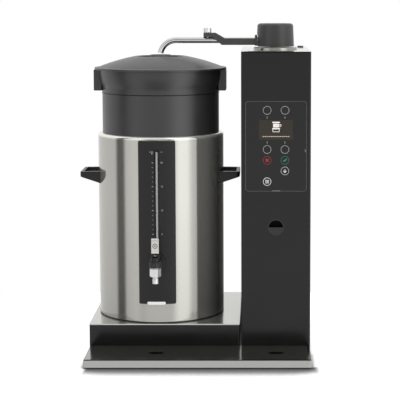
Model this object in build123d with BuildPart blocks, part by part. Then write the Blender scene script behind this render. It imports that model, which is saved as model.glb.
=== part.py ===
"""Bulk coffee brewer: a base that carries an insulated urn, beside a column with a swivel outlet.

The urn has a sight gauge and a lever tap. A filter pan with a domed lid stands on its rim, and a
shallow drip tray lies along the front. Millimetres, +Z up. The origin is on the bench at the middle
of the whole outline, with the tap towards -Y and the column towards +X.
"""

import os
from math import acos, degrees, sin, sqrt

from build123d import *

os.makedirs("parts", exist_ok=True)

# Sheet metal and clearances
sheet = 1.5  # folded sheet of the casings
fit_gap = 0.2  # between pieces that slip together for good
seat_gap = 0.3  # under pieces that lift or slide off
run_gap = 0.05  # radial clearance of turning and sliding fits
cut_margin = 1.0  # how far a cut runs past a surface
corner_radius = 5.0  # upright corners of base and column

# Base and column
foot_height = 17.0
foot_diameter = 40.0
foot_inset = 45.0
foot_chamfer = 2.0
chassis_thickness = 2.0
chassis_flange = 12.0
base_height = 88.7
plate_thickness = 1.2
plate_lip = 3.0
plate_rounding = 0.6
base_margin = 11.7  # base edge to urn, at the left
urn_front_margin = 7.7
urn_rear_margin = 55.7
column_gap = 4.0  # between base and column
column_width = 200.0
column_over_lid = 20.0
return_flange = 14.0  # folded back edges of the casing
screw_radius = 2.0
screw_head_radius = 4.0
screw_head_height = 2.4
screw_length = 8.0
screw_rows = 3
screw_end_margin = 40.0
vent_length = 90.0
vent_width = 4.0
vent_pitch = 12.0
vent_count = 6
vent_drop = 90.0  # column top to middle of the vents

# Drip tray
tray_depth = 163.0
tray_back_gap = 0.5
tray_side_gap = 1.5
tray_corner = 4.0
tray_pad_height = 3.0
tray_pad_radius = 8.0
tray_pad_inset = 24.0
tray_rim = 3.0  # inward rim that carries the plate
tray_height = 25.0  # top of the plate above the bench
tray_plate_thickness = 1.8
tray_plate_inset = 1.0
tray_plate_lip = 4.0
drain_dish_radius = 46.0
drain_dish_depth = 1.2
drain_flat_radius = 12.0
drain_slot_length = 36.0
drain_slot_width = 12.0

# Urn
urn_height = 542.9
urn_wall = 1.2
urn_rim_rounding = 9.0
urn_foot_line = 3.3  # dark line under the steel wall
urn_foot_recess = 2.5
urn_foot_spigot_height = 12.0
urn_foot_spigot_width = 6.0
vessel_diameter = 304.0
insulation_thickness = 35.3  # vessel's outside to urn's outside
vessel_floor_rounding = 6.0
vessel_floor_drop = 19.0  # tap bore down to the vessel's floor
vessel_flange = 12.0

# Urn handles
handle_reach = 49.5
handle_clearance = 5.2  # right handle to column
handle_length = 126.0
handle_arm = 12.0
handle_bar = 10.0
handle_wall_height = 38.0
handle_bar_height = 15.0
handle_bar_drop = 1.0
handle_top = 429.3  # above the base plate
handle_corner = 10.0
handle_edge = 1.5

# Sight gauge
gauge_width = 106.5
gauge_thickness = 12.0
gauge_corner = 4.0
gauge_bottom_margin = 59.3  # above the base plate
gauge_top_margin = 9.6  # below the urn's rim
gauge_slot_width = 12.0
gauge_slot_bottom = 66.0  # above the tap bore
gauge_tube_diameter = 8.0
gauge_tube_wall = 1.2
gauge_tube_top_margin = 36.0  # below the urn's rim
gauge_seal_radius = 5.0
gauge_seal_height = 8.0
gauge_seal_grip = 5.0  # length of glass held in each seal
gauge_back_gap = 1.6  # glass to urn wall

# Tap
tap_reach = 85.0  # urn wall to the tap's upright axis
tap_height = 184.3  # tap bore above the base plate
shank_radius = 10.0
shank_bore = 5.0
wall_nut_radius = 24.0
wall_nut_width = 14.0
wall_nut_rounding = 3.0
back_nut_radius = 13.0
back_nut_width = 8.0
shank_tail = 3.0  # shank inside the back nut
housing_radius = 17.0
housing_height = 14.0
housing_rise = 4.5  # middle of the ring above the tap bore
housing_chamber = 9.5
housing_spigot = 12.0
housing_spigot_height = 6.0
housing_neck_radius = 5.6
housing_neck_length = 19.0  # tap axis to the shank's end
nozzle_hex_radius = 16.0
nozzle_hex_height = 26.0
nozzle_seat_height = 4.0
nozzle_throat_radius = 7.0
nozzle_throat_drop = 4.5
nozzle_lip_radius = 8.3
nozzle_length = 21.0
nozzle_bore = 5.0
bonnet_radius = 13.5
bonnet_height = 15.0
bonnet_web = 2.0
ear_height = 10.6
ear_slot = 14.0
ear_width = 5.3
ear_front = 13.0
ear_back = 7.0
lever_crank = 8.0  # lever pivot to valve stem
lever_pivot_rise = 5.2  # above the bonnet's web
lever_pin_radius = 1.5
lever_boss = 4.0
lever_cheek = 3.2
lever_cheek_gap = 0.6  # each side, to the ears and to the stem head
lever_width = 21.0
lever_depth = 8.0
lever_height = 42.0
lever_foot_rise = 7.4  # paddle's lower edge above the pivot
lever_edge = 1.2
stem_radius = 2.5
stem_head_width = 5.0
stem_head_front = 5.0
stem_head_back = 4.0
stem_head_half_height = 4.2
stem_eye_play = 1.0  # extra length of the eye, for the crank's arc
stem_collar_radius = 7.0
stem_collar_height = 1.6
seat_radius = 8.4
seat_height = 8.0
spring_radius = 5.6
spring_wire = 1.1
spring_turns = 4
guide_web = 4.0  # web in the housing that guides the stem

# Filter pan, basket and lid
pan_setback = 13.5  # urn's wall to the pan's wall
pan_seam_height = 118.4  # above the urn's rim
pan_collar_step = 0.6
pan_collar_straight = 16.0  # upright part above the seam
pan_collar_flare = 10.2
pan_collar_bulge = 2.4
pan_height = 186.4
pan_wall = 3.2
pan_floor_thickness = 4.0
pan_floor_rise = 19.0  # floor's edge above the urn's rim
pan_floor_fall = 21.0  # slope to the drain
pan_drain_radius = 10.0
pan_spigot_depth = 26.0
pan_spigot_gap = 2.0
pan_ear_reach = 12.0  # past the collar's top
pan_ear_length = 74.0
pan_ear_height = 62.0
pan_ear_rounding = 2.5
basket_gap = 6.0
basket_wall = 1.0
basket_height = 112.0
basket_rim = 3.0
basket_hole_radius = 4.0
lid_flange = 6.0
lid_rim_width = 9.0  # flat rim outside the dome
lid_rim_rounding = 1.5
lid_height = 39.0
lid_bulge = 3.0
lid_wall = 3.0
lid_skirt_depth = 10.0
lid_skirt_gap = 2.4
lid_ring_radius = 76.0
lid_ring_width = 5.0
lid_dish_depth = 22.0
lid_dish_radius = 66.0
lid_ledge = 4.0
spray_thickness = 2.0
spray_hole_radius = 2.6
cup_radius = 31.0  # inlet cup in the middle of the spray plate
cup_rise = 4.0  # above the lid's ring

# Swivel outlet
swivel_flange_radius = 65.0
swivel_flange_height = 7.0
swivel_flange_rounding = 3.0
cap_gap = 2.0  # under the cap
cap_radius = 56.0
cap_top_radius = 53.0
cap_height = 68.0
cap_wall = 3.0
cap_rounding = 9.0
cap_post_radius = 14.0
stem_shaft_radius = 11.0
stem_shaft_depth = 37.0  # below the column top
stem_bore = 6.0
hub_radius = 20.0
hub_height = 38.0
bush_wall = 5.0
bush_flange_radius = 26.0
bush_flange_height = 3.0
bush_tail = 2.0  # bush below the stem's end
seal_radius = 1.2
seal_groove_depth = 2.5
seal_groove_height = 3.0
pipe_over_column = 27.0
pipe_radius = 9.0
pipe_bore = 7.5
pipe_bend = 47.0
outlet_gap = 9.0  # outlet above the lid's ring
pipe_start = 10.0  # from the swivel's axis
grip_length = 214.0
grip_shoulder = 159.0  # where the grip starts to rise
grip_low = 14.0  # below the pipe's middle
grip_side = 6.0  # above the pipe's middle
grip_top = 22.0
grip_width = 26.0
grip_end_flat = 2.0  # between the rounded corners of the grip's end
grip_rise = 28.0  # length of the slope
grip_step = 9.0  # top slope starts this much nearer the cap
grip_collar_length = 8.0
grip_collar_width = 34.0
grip_collar_low = 16.0
grip_collar_high = 16.0
grip_collar_rounding = 6.0
nut_radius = 12.5
nut_height = 14.0
nut_rounding = 2.0
nut_flutes = 12
nut_flute_radius = 1.6
stud_radius = 4.0
stud_length = 24.5  # above the pipe's top
plug_side_margin = 19.0
plug_rear_margin = 43.0
plug_head_radius = 9.5
plug_head_height = 3.5
plug_stem_radius = 6.5
plug_stem_length = 12.0
plug_seat_wall = 2.5
plug_seat_flange = 4.0

# Control panel and finger pull
panel_width = 177.0
panel_height = 261.0
panel_corner = 9.0
panel_thickness = 1.2
panel_drop = 140.0  # below the column top
display_width = 98.0
display_height = 58.0
display_drop = 54.0  # below the panel's upper edge
module_margin = 3.0
module_depth = 8.0
board_width = 150.0
board_height = 225.0
board_drop = 18.0  # below the panel's upper edge
board_thickness = 1.6
notch_width = 1.6
notch_height = 7.0
notch_drop = 143.0
pull_radius = 23.5
pull_wall = 3.0
pull_depth = 20.0
pull_drop = 104.0  # below the panel's lower edge

# Boiler and fittings at the back
boiler_radius = 72.0
boiler_wall = 2.0
boiler_rounding = 30.0
boiler_bottom = 70.0
boiler_head_room = 187.0  # boiler to column top
stand_radius = 50.0
stand_wall = 2.0
element_flange_radius = 34.0
element_flange_height = 6.0
element_hole_radius = 28.0
element_tube_radius = 4.2
element_half_span = 16.0
element_margin = 90.0
terminal_radius = 3.0
terminal_length = 16.0
riser_radius = 8.0
riser_bore = 6.0
riser_flange_height = 4.0
inlet_height = 120.0
inlet_reach = 18.0
inlet_radius = 13.22
inlet_collar_step = 2.3  # collar through the cover, beyond the thread's radius
inlet_collar_reach = 1.0
inlet_relief_depth = 1.2  # groove between collar and thread
inlet_relief_length = 1.5
inlet_bore = 8.0
valve_width = 42.0
valve_depth = 46.0
valve_flange_radius = 22.0
valve_flange_depth = 4.0
coil_radius = 17.0
coil_height = 38.0
inlet_pipe_radius = 6.0
gland_offset = 55.0
gland_radius = 8.0
gland_bore = 4.5
gland_hex_radius = 13.0
gland_hex_length = 6.0
gland_dome_radius = 11.0
gland_dome_length = 8.0
gland_thread_length = 14.0
gland_nut_length = 5.0

# Places that follow from the sizes
urn_diameter = vessel_diameter + 2 * insulation_thickness
urn_radius = urn_diameter / 2
base_width = base_margin + urn_diameter + handle_reach + handle_clearance - column_gap
body_depth = urn_front_margin + urn_diameter + urn_rear_margin
handle_overhang = handle_reach - base_margin
overall_width = handle_overhang + base_width + column_gap + column_width
overall_depth = tray_depth + body_depth + inlet_reach
base_left = handle_overhang - overall_width / 2
base_right = base_left + base_width
column_left = base_right + column_gap
column_right = column_left + column_width
front_y = tray_depth - overall_depth / 2
back_y = front_y + body_depth
base_x = (base_left + base_right) / 2
column_x = (column_left + column_right) / 2
body_x = (base_left + column_right) / 2
body_y = (front_y + back_y) / 2
body_width = column_right - base_left
urn_x = base_left + base_margin + urn_radius
urn_y = front_y + urn_front_margin + urn_radius
chassis_top = foot_height + chassis_thickness
urn_bottom = base_height + seat_gap
shell_bottom = urn_bottom + urn_foot_line
urn_top = base_height + urn_height
pan_bottom = urn_top + seat_gap
pan_top = urn_top + pan_height
lid_bottom = pan_top + seat_gap
lid_top = pan_top + lid_height
column_top = lid_top + column_over_lid
pipe_z = column_top + pipe_over_column
vessel_radius = vessel_diameter / 2
pan_radius = urn_radius - pan_setback
pan_top_radius = pan_radius + pan_collar_flare
ear_tip = pan_top_radius + pan_ear_reach
lid_radius = ear_tip
tap_y = urn_y - urn_radius - tap_reach
tap_z = base_height + tap_height
panel_top = column_top - panel_drop
panel_bottom = panel_top - panel_height
display_z = panel_top - display_drop - display_height / 2
board_z = panel_top - board_drop - board_height / 2
pull_z = panel_bottom - pull_drop
boiler_top = column_top - boiler_head_room


def upright(x, y):
    """The plane through (x, y) that faces the front, with its own y along +Z."""
    return Plane((x, y, 0), x_dir=(1, 0, 0), z_dir=(0, -1, 0))


def turned(points, x, y, rounding=0, mode=Mode.ADD):
    """Turn a closed outline of (radius, height) points about the upright axis at (x, y)."""
    with BuildSketch(upright(x, y)) as outline:
        with BuildLine():
            FilletPolyline(*points, radius=rounding, close=True)
        make_face()
    revolve(outline.sketch, axis=Axis((x, y, 0), (0, 0, 1)), mode=mode)


def bar(radius, start, end, mode=Mode.ADD):
    """A round bar, or a round hole, from one point to another."""
    run = Vector(*end) - Vector(*start)
    with BuildSketch(Plane(origin=start, z_dir=run)) as section:
        Circle(radius)
    extrude(section.sketch, amount=run.length, mode=mode)


def block(low, high, mode=Mode.ADD):
    """A square block between two opposite corners."""
    size = Vector(*high) - Vector(*low)
    with Locations(low):
        Box(size.X, size.Y, size.Z, align=(Align.MIN, Align.MIN, Align.MIN), mode=mode)


def hexagon(radius, start, end):
    """A hexagonal bar from one point to another, with a flat towards the front."""
    run = Vector(*end) - Vector(*start)
    across = Vector(0, 0, 1) if run.Z == 0 else Vector(1, 0, 0)
    with BuildSketch(Plane(origin=start, x_dir=across, z_dir=run)) as section:
        RegularPolygon(radius, 6)
    extrude(section.sketch, amount=run.length)


def ring_outline(width, depth, wall, x, y, z):
    """Outline of a rounded rectangular wall, seen from above."""
    with BuildSketch(Plane.XY.offset(z)) as outline:
        with Locations((x, y)):
            RectangleRounded(width, depth, corner_radius)
            RectangleRounded(width - 2 * wall, depth - 2 * wall, corner_radius - wall, mode=Mode.SUBTRACT)
    return outline.sketch


def capping_plate(x, width, top):
    """Shallow steel lid with turned-down edges that closes the base or the column."""
    with BuildPart() as plate:
        with BuildSketch(Plane.XY.offset(top - plate_thickness)):
            with Locations((x, body_y)):
                RectangleRounded(width, body_depth, corner_radius)
        extrude(amount=plate_thickness)
        extrude(ring_outline(width, body_depth, sheet, x, body_y, top - plate_lip), amount=plate_lip)
        fillet(plate.faces().sort_by(Axis.Z)[-1].edges(), plate_rounding)
    return plate.part


# Chassis: floor sheet with flanges inside the two casings
with BuildPart() as chassis:
    with BuildSketch(Plane.XY.offset(foot_height)):
        with Locations((body_x, body_y)):
            RectangleRounded(body_width, body_depth, corner_radius)
    extrude(amount=chassis_thickness)
    inset = 2 * (2 * sheet + fit_gap)
    for x, width in ((base_x, base_width), (column_x, column_width)):
        wall = ring_outline(width - inset, body_depth - inset, sheet, x, body_y, chassis_top)
        extrude(wall, amount=chassis_flange)

with BuildPart() as feet:
    with BuildSketch():
        with Locations((body_x, body_y)):
            with GridLocations(body_width - 2 * foot_inset, body_depth - 2 * foot_inset, 2, 2):
                Circle(foot_diameter / 2)
    extrude(amount=foot_height)
    chamfer(feet.edges().group_by(Axis.Z)[0], foot_chamfer)

with BuildPart() as base_skirt:
    wall = ring_outline(base_width, body_depth, sheet, base_x, body_y, chassis_top)
    extrude(wall, amount=base_height - plate_lip - chassis_top)

with BuildPart() as base_top_plate:
    add(capping_plate(base_x, base_width, base_height))

# Column casing: front and sides in one folded sheet, open at the back
casing_depth = body_depth - sheet
casing_top = column_top - plate_lip
with BuildPart() as column_casing:
    with BuildSketch(Plane.XY.offset(chassis_top)) as folded:
        with Locations((column_x, front_y + casing_depth / 2)):
            Rectangle(column_width, casing_depth)
        fillet(folded.vertices().group_by(Axis.Y)[0], corner_radius)
        offset(amount=-sheet, mode=Mode.SUBTRACT)
        with Locations((column_x, back_y - sheet)):
            Rectangle(column_width - 2 * return_flange, 4 * sheet, mode=Mode.SUBTRACT)
    extrude(amount=casing_top - chassis_top)
    with BuildSketch(upright(column_x, front_y + 2 * sheet)):
        with Locations((0, display_z)):
            Rectangle(display_width, display_height)
        with Locations((0, pull_z)):
            Circle(pull_radius + fit_gap)
    extrude(amount=4 * sheet, mode=Mode.SUBTRACT)
    screw_x = column_width / 2 - return_flange / 2
    screw_pitch = (casing_top - chassis_top - 2 * screw_end_margin) / (screw_rows - 1)
    screw_z = (casing_top + chassis_top) / 2
    with BuildSketch(upright(column_x, back_y)):
        with Locations((0, screw_z)):
            with GridLocations(2 * screw_x, screw_pitch, 2, screw_rows):
                Circle(screw_radius + fit_gap)
    extrude(amount=3 * sheet, mode=Mode.SUBTRACT)

with BuildPart() as rear_cover:
    with BuildSketch(upright(column_x, back_y)):
        with Locations((0, screw_z)):
            Rectangle(column_width, casing_top - chassis_top)
            with GridLocations(2 * screw_x, screw_pitch, 2, screw_rows):
                Circle(screw_radius + fit_gap, mode=Mode.SUBTRACT)
        with Locations((0, inlet_height)):
            Circle(inlet_radius + inlet_collar_step + fit_gap, mode=Mode.SUBTRACT)
        with Locations((gland_offset, inlet_height)):
            Circle(gland_radius + fit_gap, mode=Mode.SUBTRACT)
        with Locations((0, column_top - vent_drop)):
            with GridLocations(0, vent_pitch, 1, vent_count):
                SlotOverall(vent_length, vent_width, mode=Mode.SUBTRACT)
    extrude(amount=sheet)

with BuildPart() as rear_cover_screws:
    for side in (-1, 1):
        for row in range(screw_rows):
            x = column_x + side * screw_x
            z = screw_z + (row - (screw_rows - 1) / 2) * screw_pitch
            bar(screw_head_radius, (x, back_y, z), (x, back_y + screw_head_height, z))
            bar(screw_radius, (x, back_y - screw_length, z), (x, back_y, z))
    outer_rims = rear_cover_screws.edges().group_by(Axis.Y)[-1]
    fillet(outer_rims, screw_head_height / 3)

plug_x = column_right - plug_side_margin
plug_y = back_y - plug_rear_margin
bush_radius = stem_shaft_radius + run_gap + bush_wall
seat_outer = plug_stem_radius + run_gap + plug_seat_wall
with BuildPart() as column_top_plate:
    add(capping_plate(column_x, column_width, column_top))
    for radius, x, y in ((bush_radius, column_x, urn_y), (seat_outer, plug_x, plug_y)):
        bar(radius + fit_gap, (x, y, column_top - plate_lip), (x, y, column_top), mode=Mode.SUBTRACT)

# Control panel: overlay, window, display and board
with BuildPart() as control_panel:
    with BuildSketch(upright(column_x, front_y)):
        with Locations((0, panel_top - panel_height / 2)):
            RectangleRounded(panel_width, panel_height, panel_corner)
        with Locations((0, display_z)):
            Rectangle(display_width, display_height, mode=Mode.SUBTRACT)
        with Locations((panel_width / 2, panel_top - notch_drop)):
            Rectangle(2 * notch_width, notch_height, mode=Mode.SUBTRACT)
    extrude(amount=panel_thickness)

with BuildPart() as display_window:
    with BuildSketch(upright(column_x, front_y + sheet)):
        with Locations((0, display_z)):
            Rectangle(display_width - 2 * fit_gap, display_height - 2 * fit_gap)
    extrude(amount=sheet + panel_thickness)

module_back = front_y + sheet + module_depth
with BuildPart() as display_module:
    with BuildSketch(upright(column_x, module_back)):
        with Locations((0, display_z)):
            Rectangle(display_width + 2 * module_margin, display_height + 2 * module_margin)
    extrude(amount=module_depth)

with BuildPart() as control_board:
    with BuildSketch(upright(column_x, module_back + board_thickness)):
        with Locations((0, board_z)):
            Rectangle(board_width, board_height)
    extrude(amount=board_thickness)
    for x in (-1, 1):
        for z in (-1, 1):
            post_x = column_x + x * (board_width / 2 - module_margin)
            post_z = board_z + z * (board_height / 2 - module_margin)
            bar(module_margin, (post_x, front_y + sheet, post_z), (post_x, module_back, post_z))

# Finger pull: flush cup, open in its upper half only
with BuildPart() as finger_pull:
    bar(pull_radius, (column_x, front_y, pull_z), (column_x, front_y + pull_depth, pull_z))
    with BuildSketch(upright(column_x, front_y + pull_depth - pull_wall)) as half_moon:
        with Locations((0, pull_z)):
            Circle(pull_radius - pull_wall)
        with Locations((0, pull_z - pull_radius / 2)):
            Rectangle(2 * pull_radius, pull_radius, mode=Mode.SUBTRACT)
    extrude(amount=pull_depth, mode=Mode.SUBTRACT)

# Boiler, its stand and element, and the pipe up to the swivel
with BuildPart() as boiler:
    for inside, mode in ((0, Mode.ADD), (boiler_wall, Mode.SUBTRACT)):
        can = boiler_radius - inside
        low = boiler_bottom + inside
        high = boiler_top - inside
        round_off = boiler_rounding - inside
        with BuildSketch(upright(column_x, urn_y)) as half_can:
            with BuildLine():
                FilletPolyline((0, low), (can, low), (can, high), (0, high), radius=round_off)
                Line((0, high), (0, low))
            make_face()
        revolve(half_can.sketch, axis=Axis((column_x, urn_y, 0), (0, 0, 1)), mode=mode)
    floor_hole = (column_x, urn_y, boiler_bottom)
    bar(element_hole_radius, floor_hole, (column_x, urn_y, boiler_bottom + boiler_wall), Mode.SUBTRACT)
    roof_hole = (column_x, urn_y, boiler_top - boiler_wall)
    bar(riser_bore, roof_hole, (column_x, urn_y, boiler_top), Mode.SUBTRACT)

with BuildPart() as boiler_stand:
    stand_points = [
        (stand_radius, chassis_top),
        (stand_radius, boiler_bottom),
        (stand_radius - boiler_rounding / 3, boiler_bottom),
        (stand_radius - boiler_rounding / 3, boiler_bottom - stand_wall),
        (stand_radius - stand_wall, boiler_bottom - stand_wall),
        (stand_radius - stand_wall, chassis_top),
    ]
    turned(stand_points, column_x, urn_y)

with BuildPart() as heating_element:
    bar(
        element_flange_radius,
        (column_x, urn_y, boiler_bottom - element_flange_height),
        (column_x, urn_y, boiler_bottom),
    )
    loop_top = boiler_top - element_margin
    with BuildLine(upright(column_x, urn_y)) as loop:
        up = Line((-element_half_span, boiler_bottom), (-element_half_span, loop_top))
        over = ThreePointArc(up @ 1, (0, loop_top + element_half_span), (element_half_span, loop_top))
        Line(over @ 1, (element_half_span, boiler_bottom))
    with BuildSketch(Plane.XY.offset(boiler_bottom)):
        with Locations((column_x - element_half_span, urn_y)):
            Circle(element_tube_radius)
    sweep(path=loop.wire())
    for side in (-1, 1):
        x = column_x + side * element_half_span
        terminal_top = boiler_bottom - element_flange_height
        bar(terminal_radius, (x, urn_y, terminal_top - terminal_length), (x, urn_y, terminal_top))

stem_bottom = column_top - stem_shaft_depth
bush_bottom = stem_bottom - bush_tail
with BuildPart() as riser_pipe:
    bar(riser_radius, (column_x, urn_y, boiler_top), (column_x, urn_y, bush_bottom))
    for z in (boiler_top, bush_bottom - riser_flange_height):
        bar(bush_radius, (column_x, urn_y, z), (column_x, urn_y, z + riser_flange_height))
    bar(riser_bore, (column_x, urn_y, boiler_top), (column_x, urn_y, bush_bottom), Mode.SUBTRACT)

# Water inlet and cable gland in the back
valve_back = back_y - sheet
valve_front = valve_back - valve_flange_depth - valve_depth
with BuildPart() as inlet_valve:
    collar_end = back_y + inlet_collar_reach
    thread_start = collar_end + inlet_relief_length
    bore_end = back_y + inlet_reach
    for radius, start, end in (
        (inlet_radius + inlet_collar_step, valve_back, collar_end),
        (inlet_radius - inlet_relief_depth, collar_end, thread_start),
        (inlet_radius, thread_start, bore_end),
    ):
        bar(radius, (column_x, start, inlet_height), (column_x, end, inlet_height))
    flange_front = valve_back - valve_flange_depth
    bar(valve_flange_radius, (column_x, flange_front, inlet_height), (column_x, valve_back, inlet_height))
    block(
        (column_x - valve_width / 2, valve_front, inlet_height - valve_width / 2),
        (column_x + valve_width / 2, flange_front, inlet_height + valve_width / 2),
    )
    bar(inlet_bore, (column_x, back_y, inlet_height), (column_x, bore_end, inlet_height), Mode.SUBTRACT)

with BuildPart() as valve_coil:
    coil_y = valve_front + valve_depth / 2
    coil_bottom = inlet_height + valve_width / 2
    bar(coil_radius, (column_x, coil_y, coil_bottom), (column_x, coil_y, coil_bottom + coil_height))

with BuildPart() as inlet_pipe:
    boiler_back = urn_y + boiler_radius
    bar(inlet_pipe_radius, (column_x, boiler_back, inlet_height), (column_x, valve_front, inlet_height))

gland_x = column_x + gland_offset
gland_end = back_y + gland_hex_length + gland_dome_length
with BuildPart() as cable_gland:
    hex_end = back_y + gland_hex_length
    hexagon(gland_hex_radius, (gland_x, back_y, inlet_height), (gland_x, hex_end, inlet_height))
    bar(gland_dome_radius, (gland_x, back_y, inlet_height), (gland_x, gland_end, inlet_height))
    fillet(cable_gland.edges().group_by(Axis.Y)[-1], gland_dome_length / 2)
    thread_end = back_y - gland_thread_length
    bar(gland_radius, (gland_x, thread_end, inlet_height), (gland_x, back_y, inlet_height))
    bar(gland_bore, (gland_x, thread_end, inlet_height), (gland_x, gland_end, inlet_height), Mode.SUBTRACT)

with BuildPart() as gland_nut:
    nut_front = valve_back - gland_nut_length
    hexagon(gland_hex_radius, (gland_x, nut_front, inlet_height), (gland_x, valve_back, inlet_height))
    hole = gland_radius + fit_gap
    bar(hole, (gland_x, nut_front, inlet_height), (gland_x, valve_back, inlet_height), Mode.SUBTRACT)

# Swivel: fixed flange and bush, then the stem and cap that turn
bush_top = column_top + swivel_flange_height
with BuildPart() as swivel_flange:
    bar(swivel_flange_radius, (column_x, urn_y, column_top), (column_x, urn_y, bush_top))
    fillet(swivel_flange.edges().group_by(Axis.Z)[-1], swivel_flange_rounding)
    hole = bush_radius + fit_gap
    bar(hole, (column_x, urn_y, column_top), (column_x, urn_y, bush_top), Mode.SUBTRACT)

with BuildPart() as swivel_bush:
    bar(bush_radius, (column_x, urn_y, bush_bottom), (column_x, urn_y, bush_top))
    collar_top = column_top - plate_thickness
    collar_bottom = collar_top - bush_flange_height
    bar(bush_flange_radius, (column_x, urn_y, collar_bottom), (column_x, urn_y, collar_top))
    running_bore = stem_shaft_radius + run_gap
    bar(running_bore, (column_x, urn_y, bush_bottom), (column_x, urn_y, bush_top), Mode.SUBTRACT)

hub_bottom = bush_top + seat_gap
hub_top = hub_bottom + hub_height
groove_low = stem_bottom + 3 * seal_groove_height
groove_high = groove_low + 4 * seal_groove_height
with BuildPart() as swivel_stem:
    bar(stem_shaft_radius, (column_x, urn_y, stem_bottom), (column_x, urn_y, hub_bottom))
    bar(hub_radius, (column_x, urn_y, hub_bottom), (column_x, urn_y, hub_top))
    for z in (groove_low, groove_high):
        groove = [
            (stem_shaft_radius - seal_groove_depth, z),
            (stem_shaft_radius + cut_margin, z),
            (stem_shaft_radius + cut_margin, z + seal_groove_height),
            (stem_shaft_radius - seal_groove_depth, z + seal_groove_height),
        ]
        turned(groove, column_x, urn_y, mode=Mode.SUBTRACT)
    bar(stem_bore, (column_x, urn_y, stem_bottom), (column_x, urn_y, pipe_z), Mode.SUBTRACT)
    bar(
        pipe_radius + run_gap,
        (column_x - hub_radius, urn_y, pipe_z),
        (column_x - pipe_start + stem_bore, urn_y, pipe_z),
        Mode.SUBTRACT,
    )

with BuildPart() as swivel_seals:
    for z in (groove_low, groove_high):
        with BuildSketch(upright(column_x, urn_y)) as ring_section:
            with Locations((stem_shaft_radius - seal_radius, z + seal_groove_height / 2)):
                Circle(seal_radius)
        revolve(ring_section.sketch, axis=Axis((column_x, urn_y, 0), (0, 0, 1)))

cap_bottom = bush_top + cap_gap
cap_top = cap_bottom + cap_height
collar_low = pipe_z - grip_collar_low
collar_high = pipe_z + grip_collar_high
with BuildPart() as swivel_cap:
    for inside, mode in ((0, Mode.ADD), (cap_wall, Mode.SUBTRACT)):
        with BuildSketch(upright(column_x, urn_y)) as half_cap:
            with BuildLine():
                FilletPolyline(
                    (cap_radius - inside, cap_bottom),
                    (cap_top_radius - inside, cap_top - inside),
                    (0, cap_top - inside),
                    radius=cap_rounding - inside,
                )
                Polyline((0, cap_top - inside), (0, cap_bottom), (cap_radius - inside, cap_bottom))
            make_face()
        revolve(half_cap.sketch, axis=Axis((column_x, urn_y, 0), (0, 0, 1)), mode=mode)
    bar(cap_post_radius, (column_x, urn_y, hub_top), (column_x, urn_y, cap_top - cap_wall))
    notch_half = grip_collar_width / 2 + 2 * seat_gap
    block(
        (column_x - cap_radius, urn_y - notch_half, cap_bottom),
        (column_x - hub_radius, urn_y + notch_half, collar_high + 2 * seat_gap),
        Mode.SUBTRACT,
    )

# Outlet pipe: level run, then a bend that stops just short of upright
pipe_drop = pipe_z - lid_top - outlet_gap
bend_angle = acos(1 - pipe_drop / pipe_bend)
bend_x = urn_x + pipe_bend * sin(bend_angle)
stud_x = column_x - grip_length + nut_radius
with BuildPart() as outlet_pipe:
    with BuildLine(upright(column_x, urn_y)) as pipe_path:
        level = Line((-pipe_start, pipe_z), (bend_x - column_x, pipe_z))
        JernArc(level @ 1, level % 1, pipe_bend, degrees(bend_angle))
    with BuildSketch(Plane(origin=(column_x - pipe_start, urn_y, pipe_z), z_dir=(-1, 0, 0))):
        Circle(pipe_radius)
        Circle(pipe_bore, mode=Mode.SUBTRACT)
    sweep(path=pipe_path.wire())
    stud_top = pipe_z + pipe_radius + stud_length
    bar(stud_radius, (stud_x, urn_y, pipe_z + pipe_bore + seat_gap), (stud_x, urn_y, stud_top))

# Grip: trough under the pipe that rises over it to a rounded end
grip_roof = pipe_z + grip_top
grip_under = pipe_z + pipe_radius + seat_gap
with BuildPart() as grip_arm:
    with BuildSketch(upright(column_x, urn_y)):
        with BuildLine():
            Polyline(
                (-cap_radius, pipe_z - grip_low),
                (-grip_shoulder, pipe_z - grip_low),
                (-grip_shoulder - grip_rise, grip_under),
                (-grip_length, grip_under),
                (-grip_length, grip_roof),
                (grip_step - grip_shoulder - grip_rise, grip_roof),
                (grip_step - grip_shoulder, pipe_z + grip_side),
                (-cap_radius, pipe_z + grip_side),
                close=True,
            )
        make_face()
    extrude(amount=grip_width / 2, both=True)
    tip_edges = grip_arm.edges().filter_by(Axis.Z).group_by(Axis.X)[0]
    fillet(tip_edges, (grip_width - grip_end_flat) / 2)
    collar_x = column_x - cap_radius + cap_wall
    with BuildSketch(Plane((collar_x, urn_y, pipe_z), z_dir=(-1, 0, 0), x_dir=(0, 1, 0))):
        with Locations((0, (grip_collar_low - grip_collar_high) / 2)):
            RectangleRounded(grip_collar_width, grip_collar_low + grip_collar_high, grip_collar_rounding)
    extrude(amount=grip_collar_length)
    channel = pipe_radius + seat_gap
    bar(channel, (column_x, urn_y, pipe_z), (column_x - grip_length, urn_y, pipe_z), Mode.SUBTRACT)
    block(
        (column_x + grip_step - grip_shoulder, urn_y - channel, pipe_z),
        (column_x - cap_radius - grip_collar_length, urn_y + channel, grip_roof),
        Mode.SUBTRACT,
    )
    bar(stud_radius + fit_gap, (stud_x, urn_y, pipe_z), (stud_x, urn_y, grip_roof), Mode.SUBTRACT)

nut_bottom = grip_roof + seat_gap
with BuildPart() as thumb_nut:
    bar(nut_radius, (stud_x, urn_y, nut_bottom), (stud_x, urn_y, nut_bottom + nut_height))
    fillet(thumb_nut.edges().filter_by(GeomType.CIRCLE), nut_rounding)
    with BuildSketch(Plane.XY.offset(nut_bottom)):
        with Locations((stud_x, urn_y)):
            with PolarLocations(nut_radius, nut_flutes):
                Circle(nut_flute_radius)
    extrude(amount=nut_height, mode=Mode.SUBTRACT)
    nut_bore = stud_radius + run_gap
    bar(nut_bore, (stud_x, urn_y, nut_bottom), (stud_x, urn_y, stud_top + seat_gap), Mode.SUBTRACT)

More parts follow.
